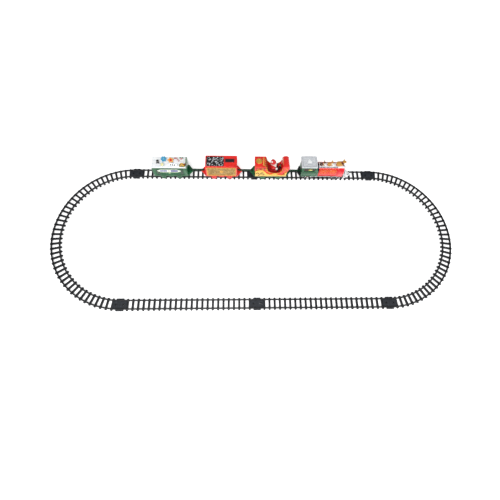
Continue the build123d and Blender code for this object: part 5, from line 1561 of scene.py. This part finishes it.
def sleigh_body():
    node = "sleigh_wagon_body"
    shape = Shape(node + "_shell", standing(node))
    shape.take(softened(node, 0.5), "red_plastic")
    start = shape.start.x / MM
    block_top = 67.5
    # dark red painted shade on the floor and rear wall of the well, and a rolled edge round the well
    shape.prism(oblong(36.0, 29.6, 1.2, 3, (53.5 - start, 0)), 31.02, 31.4, "dark_red_plastic", soft=0.12)
    shape.prism(oblong(1.0, 29.0, 0.4, 2, (31.6 - start, 0)), 31.2, 62.0, "dark_red_plastic", soft=0.2)
    for side in (-1, 1):
        edge = wave([(74.0, 63.5), (73.0, 48), (65.5, 38.4), (55, 36.4), (44, 38.8), (35, 48),
                     (29.6, 66.6)])
        piping(shape, [[(Vector((u - start, side * 16.2, v + 0.1)), 0.75) for u, v in edge]],
               "gold_plating")
    dash = wave([(-12.5, 60.5), (-11.0, 66.5), (0, 69.3), (11.0, 66.5), (12.5, 60.5)])
    piping(shape, [tapered(dash, 0.5, lambda u, v: (76.0 - start, u, v))], "gold_plating")
    shape.frame(oblong(31.0, 31.0, 1.5, 4, (14.0 - start, 0)),
                oblong(29.6, 29.6, 1.0, 4, (14.0 - start, 0)),
                block_top - 0.2, block_top + 0.35, "dark_red_plastic", soft=0.15)
    for side, place in SIDES:
        turn = -side
        panel = [(turn * (u - start), v) for u, v in ((2.5, 50.5), (28.0, 50.5), (27.0, 64.5), (2.5, 64.5))]
        shape.prism(panel, 16.85, 17.15, "dark_red_plastic", place, soft=0.1)

        def lay(u, v):
            return place @ Vector((turn * (u - start), v, 17.1))

        piping(shape, [tapered(curl((9, 57.5), 5.0, 0.7, 30, 420), 0.7, lay),
                       tapered(curl((20, 57.0), 4.6, 0.7, 150, -420), 0.7, lay),
                       tapered(curl((84, 58), 4.4, 0.6, 200, -420), 0.7, lay),
                       tapered(wave([(79, 42), (83, 49), (88, 52)]), 0.7, lay)], "gold_plating")
    shape.keep("sleigh_wagon", node)


def sleigh_trim():
    """Gilt medallion and the curls that fall from it."""
    node = "sleigh_wagon_trim"
    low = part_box(node)[0]
    shape = Shape(node + "_gilt", standing("sleigh_wagon_body"))
    start = shape.start.x / MM
    bottom = low.z / MM
    middle = (10.5 - start, 1.5, 0)
    shape.turned([(8.5, bottom), (8.5, bottom + 0.9), (8.0, bottom + 1.35), (7.2, bottom + 1.4),
                  (6.8, bottom + 0.9),
                  (6.0, bottom + 0.8), (5.5, bottom + 1.3), (4.4, bottom + 1.45), (3.6, bottom + 1.0),
                  (2.4, bottom + 1.0), (1.6, bottom + 1.5), (0.5, bottom + 1.6)], "gold_plating", LEVEL,
                  middle, 48)
    bead = Shape("bead", Vector())
    bead.ball((0, 0, 0), (0.55, 0.55, 0.45), "gold_plating", 8)
    places = [((middle[0] + 6.3 * cos(2 * pi * n / 20), 1.5 + 6.3 * sin(2 * pi * n / 20), bottom + 1.0),
               (0, 0, 0), (1, 1, 1))
              for n in range(20)]
    scatter(shape, bead, places, "gold_plating")
    paths = []
    for n, y in enumerate((-11.0, -4.2, 2.6, 9.4)):
        line = wave([(20.5 - start + n * 0.4, y + 3.4), (23.5 - start, y + 2.0), (25.0 - start, y - 1.2),
                     (27.4 - start, y - 3.4)])
        paths.append([(Vector((u, v, bottom + 0.75)), 0.95) for u, v in line])
        paths.append([(Vector((u, v, bottom + 0.6)), 0.75) for u,
                      v in curl((22.6 - start, y), 2.2, 0.6, 90, 330, 16)])
    piping(shape, paths, "gold_plating", 10)
    # curls running down both flanks beside the seat
    flank = []
    for side, place in SIDES:
        turn = -side
        for u, v, size in ((30.5, 58.0, 3.0), (33.5, 50.0, 2.8), (38.0, 42.6, 2.6)):
            flank.append([(place @ Vector((turn * (p - start), q, 17.45)), 0.7)
                          for p, q in curl((u, v), size, 0.6, 120, 380, 20)])
    piping(shape, flank, "gold_plating")
    shape.keep("sleigh_wagon", node)


green_tub()
green_plaques()
snow_heap()
red_box()
red_roof_panels()
red_plaques()
sleigh_base()
sleigh_body()
sleigh_trim()


# ---------------------------------------------------------------- reindeer

def reindeer(place, x, long, broad, tall, coat, mane, belly):
    """A lying reindeer with collar and antlers, on a base that hugs the crown."""
    node = f"loco_reindeer_{place}"
    shape = Shape(node + "_figure", standing("loco_rear_wheelset"))
    crown = BARREL_Z + BARREL_R + (0.8 if place == "front" else 0.2)
    dark, cream, horn = (0.035, 0.012, 0.006), (0.78, 0.60, 0.36), (0.50, 0.27, 0.06)
    base, collar = (0.62, 0.10, 0.10), (0.62, 0.012, 0.016)

    def limb(paint, start, start_r, end=None, end_r=None, flat=(1, 1, 1), over=0.0):
        ends = [Vector((x + p[0] * long, p[1] * broad, crown + p[2] * tall)) if p else None
                for p in (start, end)]
        return Lump(paint, ends[0], start_r * tall, ends[1], None if end_r is None else end_r * tall, flat,
                    over)

    wide = (min(long / tall, 1.15), 1.45 * broad / 1.3, 1.0)
    lumps = [
        limb(base, (-6.6, 0, 0.2), 2.0, (6.6, 0, 0.2), 2.0, (1, 2.1, 0.42), over=0.1),
        limb(coat, (-4.8, 0, 4.6), 3.9, (1.6, 0, 5.2), 4.1, wide),
        limb(mane, (2.6, 0, 6.2), 3.4, (4.6, 0, 10.6), 2.7, wide),
        limb(belly, (-2.5, 0, 2.3), 3.6, (3.0, 0, 2.6), 3.4, wide),
        limb(coat, (5.4, 0, 13.0), 2.8, (8.4, 0, 12.2), 2.0, wide),
        limb(cream, (9.2, 0, 11.9), 1.45),
        limb(dark, (10.3, 0, 12.3), 0.7, over=0.35),
        limb(collar, (3.6, 0, 9.3), 2.75, (4.4, 0, 9.7), 2.65, over=0.3),
        limb(cream, (-8.4, 0, 6.0), 1.1),
    ]
    for side in (-1, 1):
        lumps += [
            limb(coat, (4.6, 2.0 * side, 14.2), 0.9, (3.4, 3.6 * side, 14.6), 0.5),
            limb(dark, (7.0, 1.75 * side, 13.4), 0.5, over=0.35),
            limb(horn, (5.0, 1.2 * side, 15.0), 0.75, (4.0, 2.4 * side, 17.4), 0.6),
            limb(horn, (4.0, 2.4 * side, 17.4), 0.6, (4.6, 3.6 * side, 18.6), 0.5),
            limb(horn, (4.4, 2.0 * side, 16.4), 0.5, (6.2, 2.6 * side, 18.0), 0.45),
            limb(mane, (2.6, 2.9 * side, 3.2), 1.35, (7.4, 3.2 * side, 1.5), 1.0),
            limb(dark, (7.4, 3.2 * side, 1.5), 1.05, (8.4, 3.2 * side, 1.3), 0.95, over=0.2),
            limb(coat, (-5.4, 3.0 * side, 3.4), 2.2, (-4.2, 3.5 * side, 2.0), 1.5),
            limb(coat, (-4.2, 3.6 * side, 1.7), 1.15, (-0.6, 3.9 * side, 1.3), 0.9),
        ]
    figure(shape, lumps, "reindeer_gold", 0.32)
    shape.keep("locomotive", node)


GOLD_COAT, BROWN, CREAM_COAT = (0.56, 0.27, 0.045), (0.075, 0.024, 0.010), (0.74, 0.52, 0.27)
reindeer("rear", 33.3, 0.75, 1.2, 0.88, BROWN, CREAM_COAT, CREAM_COAT)
reindeer("middle", 54.3, 0.80, 1.25, 0.96, GOLD_COAT, CREAM_COAT, GOLD_COAT)
reindeer("front", 83.0, 1.40, 1.45, 1.12, GOLD_COAT, BROWN, CREAM_COAT)


# ---------------------------------------------------------------- rider and sack

def rider():
    """A plump driver in a red coat and a fat round hat, both hands held forward."""
    node = "sleigh_rider"
    low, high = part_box(node)
    start = Vector((low.x + 10.2 * MM, (low.y + high.y) / 2, 0))
    shape = Shape(node + "_figure", start)
    red, deep, white = (0.60, 0.012, 0.016), (0.34, 0.008, 0.010), (0.86, 0.86, 0.84)
    skin, black, brass = (0.72, 0.36, 0.22), (0.012, 0.011, 0.011), (0.75, 0.48, 0.12)
    lumps = [
        Lump(red, (0, 0, 36.5), 5.2, (0, 0, 45.5), 6.4, (1.28, 1.42, 1)),
        Lump(red, (0, 0, 46.0), 6.6, (0, 0, 51.0), 5.0, (1.15, 1.35, 1)),
        Lump(deep, (-1, 0, 34.4), 3.0, (1, 0, 34.4), 3.0, (2.6, 2.7, 1)),
        Lump(black, (0, 0, 43.6), 1.0, (0, 0, 43.6), 1.0, (8.7, 9.4, 1.2), over=0.3),
        Lump(brass, (8.7, 0, 43.6), 1.1, flat=(0.5, 1.5, 1.2), over=0.5),
        Lump(skin, (1.4, 0, 58.2), 5.6, flat=(1, 1.05, 1.0)),
        Lump(skin, (7.0, 0, 57.8), 1.05, over=0.2),
        Lump(white, (5.4, 0, 53.4), 3.3, (7.0, 0, 48.0), 2.1, (1.1, 1.9, 1)),
        Lump(white, (3.6, 3.6, 55.4), 2.5, (5.6, 2.2, 52.0), 2.0),
        Lump(white, (3.6, -3.6, 55.4), 2.5, (5.6, -2.2, 52.0), 2.0),
        Lump(white, (6.8, 1.4, 56.0), 0.9, (6.1, 3.2, 55.2), 0.7, over=0.1),
        Lump(white, (6.8, -1.4, 56.0), 0.9, (6.1, -3.2, 55.2), 0.7, over=0.1),
        Lump(white, (-0.4, 0, 62.4), 2.1, flat=(3.9, 3.9, 1.0), over=0.15),
        Lump(red, (-1.2, 0, 66.0), 6.8, (-2.0, 0, 69.4), 5.8, (1.1, 1.16, 0.97)),
        Lump(white, (-5.6, -3.2, 72.0), 2.4, flat=(1, 1, 0.9), over=0.15),
    ]
    for side in (-1, 1):
        lumps += [
            Lump(black, (6.4, 1.9 * side, 59.6), 0.45, over=0.35),
            Lump(red, (0.5, 7.0 * side, 50.6), 2.9, (7.0, 7.8 * side, 47.4), 2.4),
            Lump(white, (8.4, 8.2 * side, 47.4), 3.0, (9.4, 8.2 * side, 47.2), 3.0, over=0.15),
            Lump(black, (12.0, 8.2 * side, 47.0), 2.5, flat=(1.1, 1, 0.95), over=0.1),
            Lump(deep, (2.0, 4.8 * side, 35.4), 3.2, (9.4, 6.0 * side, 35.4), 2.9),
            Lump(black, (11.4, 6.2 * side, 35.2), 2.9, (12.8, 6.3 * side, 35.0), 2.7, over=0.1),
        ]
    figure(shape, lumps, "rider_paint", 0.34)
    shape.keep("sleigh_wagon", node)


def sack():
    node = "sleigh_sack"
    low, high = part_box(node)
    shape = Shape(node + "_figure", standing(node))
    black, cord = (0.015, 0.013, 0.013), (0.55, 0.36, 0.08)
    half = (high.x - low.x) / 2 / MM
    lumps = [
        Lump(black, (0, 0, 35.0), 3.3, (0, 0, 42.5), 3.7, (1, 1.0, 1)),
        Lump(black, (0, 0, 43.0), 3.6, (0, 0, 50.2), 2.2),
        Lump(cord, (0, 0, 51.2), 1.0, flat=(1.9, 1.9, 0.7), over=0.2),
        Lump(black, (0, 0, 52.2), 1.3, (0, 0, 54.4), 2.3, (1, 1, 0.9)),
    ]
    for n in range(7):
        a = 2 * pi * n / 7
        lumps.append(Lump(black, (2.5 * cos(a), 2.5 * sin(a), 35.5), 1.35,
                          (1.4 * cos(a), 1.4 * sin(a), 49.5), 0.8))
    lumps = [lump for lump in lumps if lump.start_r <= half]
    figure(shape, lumps, "sack_paint", 0.3)
    shape.keep("sleigh_wagon", node)


# ---------------------------------------------------------------- toys in the snow

def leaning(tilt, turn):
    """A drawing that leans back by tilt degrees from lying flat and is turned about the height."""
    return Matrix.Rotation(radians(turn), 3, "Z") @ Matrix.Rotation(radians(tilt), 3, "X")


def toys():
    node = "green_wagon_toys"
    shape = Shape(node + "_set", standing("green_wagon_tub"))
    centre = shape.start.x / MM
    base = 61.0

    def spot(x, y, z=0.0):
        return Vector((x - centre, y - shape.start.y / MM, base + z))

    # blue snow crystal with six arms
    place = leaning(24, 8)
    at = spot(-245, 191, 4.6)
    arms = []
    for n in range(6):
        turn = Matrix.Rotation(radians(60 * n), 3, "Z")
        line = [turn @ Vector((u, 0, 0.2)) for u in (0.8, 7.4)]
        arms.append([(place @ point + at, 1.5) for point in line])
        for u, reach in ((3.4, 2.6), (5.6, 2.0)):
            for way in (-1, 1):
                twig = [turn @ Vector((u, 0, 0.2)), turn @ Vector((u + reach * 0.6, way * reach, 0.2))]
                arms.append([(place @ point + at, 1.0) for point in twig])
    piping(shape, arms, "ice_blue_enamel", 8)
    shape.prism(disc(2.2, 6), -0.7, 1.1, "white_enamel", place, at, soft=0.25)
    # stars
    for x, y, z, outer, tilt, turn, paint, eye in (
            (-247.6, 174.7, 2.8, 6.4, 24, -12, "pale_yellow_enamel", None),
            (-226, 187, 4.6, 9.6, 20, 14, "orange_yellow_enamel", "red_plastic")):
        place = leaning(tilt, turn)
        at = spot(x, y, z)
        shape.prism(star(5, outer, outer * 0.64), -1.3, 1.1, paint, place, at, soft=0.5)
        if eye:
            shape.prism(star(5, outer * 0.55, outer * 0.3), 1.0, 1.7, eye, place, at, soft=0.2)
    # white banner with two dark dots
    place = leaning(38, -6)
    at = spot(-220, 174, 2.4)
    banner = wave([(-12, -4.4), (-5, -3.4), (5, -4.3), (12, -3.4)],
                  5) + wave([(12, 4.0), (5, 3.4), (-5, 4.3), (-12, 3.4)], 5)
    shape.prism(banner, -0.7, 0.6, "white_enamel", place, at, soft=0.3)
    for u in (-5.6, -0.4, 5.0):
        shape.turned([(1.7, 0.5), (1.6, 1.0), (0.6, 1.3)], "frame_black", place,
                     at + place @ Vector((u, 0, 0)), 16)
    # striped cane
    line = wave([(-202.5, 183.7), (-205.5, 187.6), (-208.5, 191.6), (-211.5, 195.2), (-214.4, 195.4),
                 (-214.8, 192.4)], 7)
    count = len(line) - 1
    for first in range(0, count, 3):
        part = line[first:first + 4]
        paint = "dark_red_plastic" if (first // 3) % 2 else "white_enamel"
        piping(shape, [[(spot(u, v, 2.2 + 3.6 * (first + k) / count), 2.0) for k,
                        (u, v) in enumerate(part)]], paint, 12)
    # figures melted from lumps: lamp man, bear with its bag, ball, pink and green parcels
    grey, dark, warm = (0.05, 0.055, 0.065), (0.015, 0.016, 0.018), (0.62, 0.60, 0.52)
    yellow, olive, red = (0.66, 0.36, 0.04), (0.12, 0.13, 0.03), (0.30, 0.008, 0.012)
    pink, leaf = (0.62, 0.16, 0.20), (0.05, 0.22, 0.07)
    lumps = [
        Lump(grey, spot(-260, 183, 0.8), 3.4, spot(-260, 183, 3.8), 2.9),
        Lump(warm, spot(-260, 183, 6.4), 2.6),
        Lump(dark, spot(-260, 183, 8.2), 1.2, flat=(3.0, 3.0, 0.5), over=0.1),
        Lump(dark, spot(-260, 183, 8.8), 1.6, flat=(1, 1, 0.7)),
        Lump(grey, spot(-262.2, 181.0, 3.8), 1.3, spot(-263.4, 179.4, 1.4), 1.1),
        Lump(grey, spot(-257.8, 181.0, 3.8), 1.3, spot(-256.8, 179.4, 1.4), 1.1),
        Lump(olive, spot(-200.4, 174.0, 0.4), 3.4, spot(-190.4, 174.0, 0.4), 3.4, (1, 1.5, 0.8)),
        Lump(yellow, spot(-195.4, 174.8, 2.6), 4.2, flat=(1.15, 1, 0.9)),
        Lump(yellow, spot(-195.4, 173.8, 6.2), 3.4, flat=(1.1, 1, 0.95)),
        Lump(yellow, spot(-198.2, 174.6, 8.6), 1.2),
        Lump(yellow, spot(-192.6, 174.6, 8.6), 1.2),
        Lump((0.75, 0.56, 0.26), spot(-195.4, 170.8, 5.6), 1.4),
        Lump(dark, spot(-195.4, 169.5, 6.0), 0.55, over=0.35),
        Lump(dark, spot(-196.8, 171.0, 7.5), 0.45, over=0.35),
        Lump(dark, spot(-194.0, 171.0, 7.5), 0.45, over=0.35),
        Lump(yellow, spot(-199.0, 173.0, 4.0), 1.5, spot(-200.4, 170.6, 2.4), 1.3),
        Lump(yellow, spot(-191.8, 173.0, 4.0), 1.5, spot(-190.6, 170.6, 2.4), 1.3),
        Lump(red, spot(-186.6, 176.0, 2.4), 3.2),
        Lump(pink, spot(-199.5, 193.5, 1.2), 1.9, spot(-197.5, 194.5, 2.4), 1.6),
        Lump(leaf, spot(-203.5, 197.0, 1.0), 1.4, spot(-200.0, 198.4, 1.6), 1.0),
        Lump(leaf, spot(-196.5, 198.0, 1.0), 1.4, spot(-194.0, 196.0, 1.8), 1.0),
    ]
    figure(shape, lumps, "toy_paint", 0.28, 2)
    shape.keep("green_wagon", node)


rider()
sack()
toys()


# ---------------------------------------------------------------- finishes of the carried-over parts

FINISH = {
    "frame_black": ("loco_battery_door", "loco_speaker", "loco_power_switch"),
    "steel": ("loco_screws", "loco_battery_contacts", "loco_motor"),
    "cell_wrap": ("loco_battery_cells",),
    "board_green": ("loco_circuit_board",),
    "gear_nylon": ("loco_axle_gear", "loco_reduction_gear", "loco_motor_pinion"),
}

for finish_name, node_names in FINISH.items():
    for node_name in node_names:
        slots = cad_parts[node_name].data.materials
        slots.clear()
        slots.append(PAINT[finish_name])


# ---------------------------------------------------------------- floor, light and camera

WORLD_LIGHT = 0.42
FLOOR_GLOW = 0.5
FLOOR_GAP = 0.0002              # the floor lies this far under the track
FLOOR_REACH = 6                 # half the floor's width, in diagonals of the set
LAMPS = [
    ("key", (-0.4, -0.9, 1.8), 1.0, 30),
    ("side_fill", (1.4, -0.5, 1.0), 0.9, 7),
]
AZIMUTH, ELEVATION, ROLL = radians(6.53), radians(68.47), radians(6.13)
DISTANCE = 0.8686
AIM = Vector((-0.0145, -0.0038, 0))
LENS, SENSOR, SHIFT = 23.47, 36, -0.028


def stage():
    """A plain white floor in soft light, with a key lamp on the near side and a weak fill from the right."""
    lo, hi = CAD_BOX
    reach = FLOOR_REACH * (hi - lo).length
    panel = bpy.data.meshes.new("floor")
    corners = [(-reach, -reach), (reach, -reach), (reach, reach), (-reach, reach)]
    panel.from_pydata([(x, y, lo.z - FLOOR_GAP) for x, y in corners], [], [(0, 1, 2, 3)])
    floor = bpy.data.objects.new("floor", panel)
    bpy.context.scene.collection.objects.link(floor)
    white = finish(lambda net, where: {
        "Base Color": net.blend(net.grain(where, 300), (0.93, 0.93, 0.93), (0.95, 0.95, 0.95)),
    }, Roughness=0.8, Emission_Color=(1, 1, 1, 1), Emission_Strength=FLOOR_GLOW)
    white.name = "floor_white"
    panel.materials.append(white)
    world = bpy.data.worlds.new("studio")
    bpy.context.scene.world = world
    world.use_nodes = True
    world.node_tree.nodes["Background"].inputs["Color"].default_value = (0.97, 0.985, 1, 1)
    world.node_tree.nodes["Background"].inputs["Strength"].default_value = WORLD_LIGHT
    for name, place, size, power in LAMPS:
        lamp = bpy.data.lights.new(name, "AREA")
        lamp.shape = "DISK"
        lamp.size = size
        lamp.energy = power
        holder = bpy.data.objects.new(name, lamp)
        holder.location = place
        holder.rotation_mode = "QUATERNION"
        holder.rotation_quaternion = (-Vector(place)).to_track_quat("-Z", "Y")
        bpy.context.scene.collection.objects.link(holder)


def camera():
    """Looks down on the set from the front, a little turned and tilted."""
    back = Vector((-sin(AZIMUTH) * cos(ELEVATION), -cos(AZIMUTH) * cos(ELEVATION), sin(ELEVATION)))
    lens = bpy.data.cameras.new("camera")
    lens.lens = LENS
    lens.sensor_width = SENSOR
    lens.shift_y = SHIFT
    lens.clip_start = 0.01
    holder = bpy.data.objects.new("camera", lens)
    bpy.context.scene.collection.objects.link(holder)
    holder.location = AIM + back * DISTANCE
    level = (-back).to_track_quat("-Z", "Y").to_matrix()
    holder.rotation_mode = "QUATERNION"
    holder.rotation_quaternion = (level @ Matrix.Rotation(ROLL, 3, "Z")).to_quaternion()
    bpy.context.scene.camera = holder
    bpy.context.scene.view_settings.view_transform = "Standard"


stage()
camera()
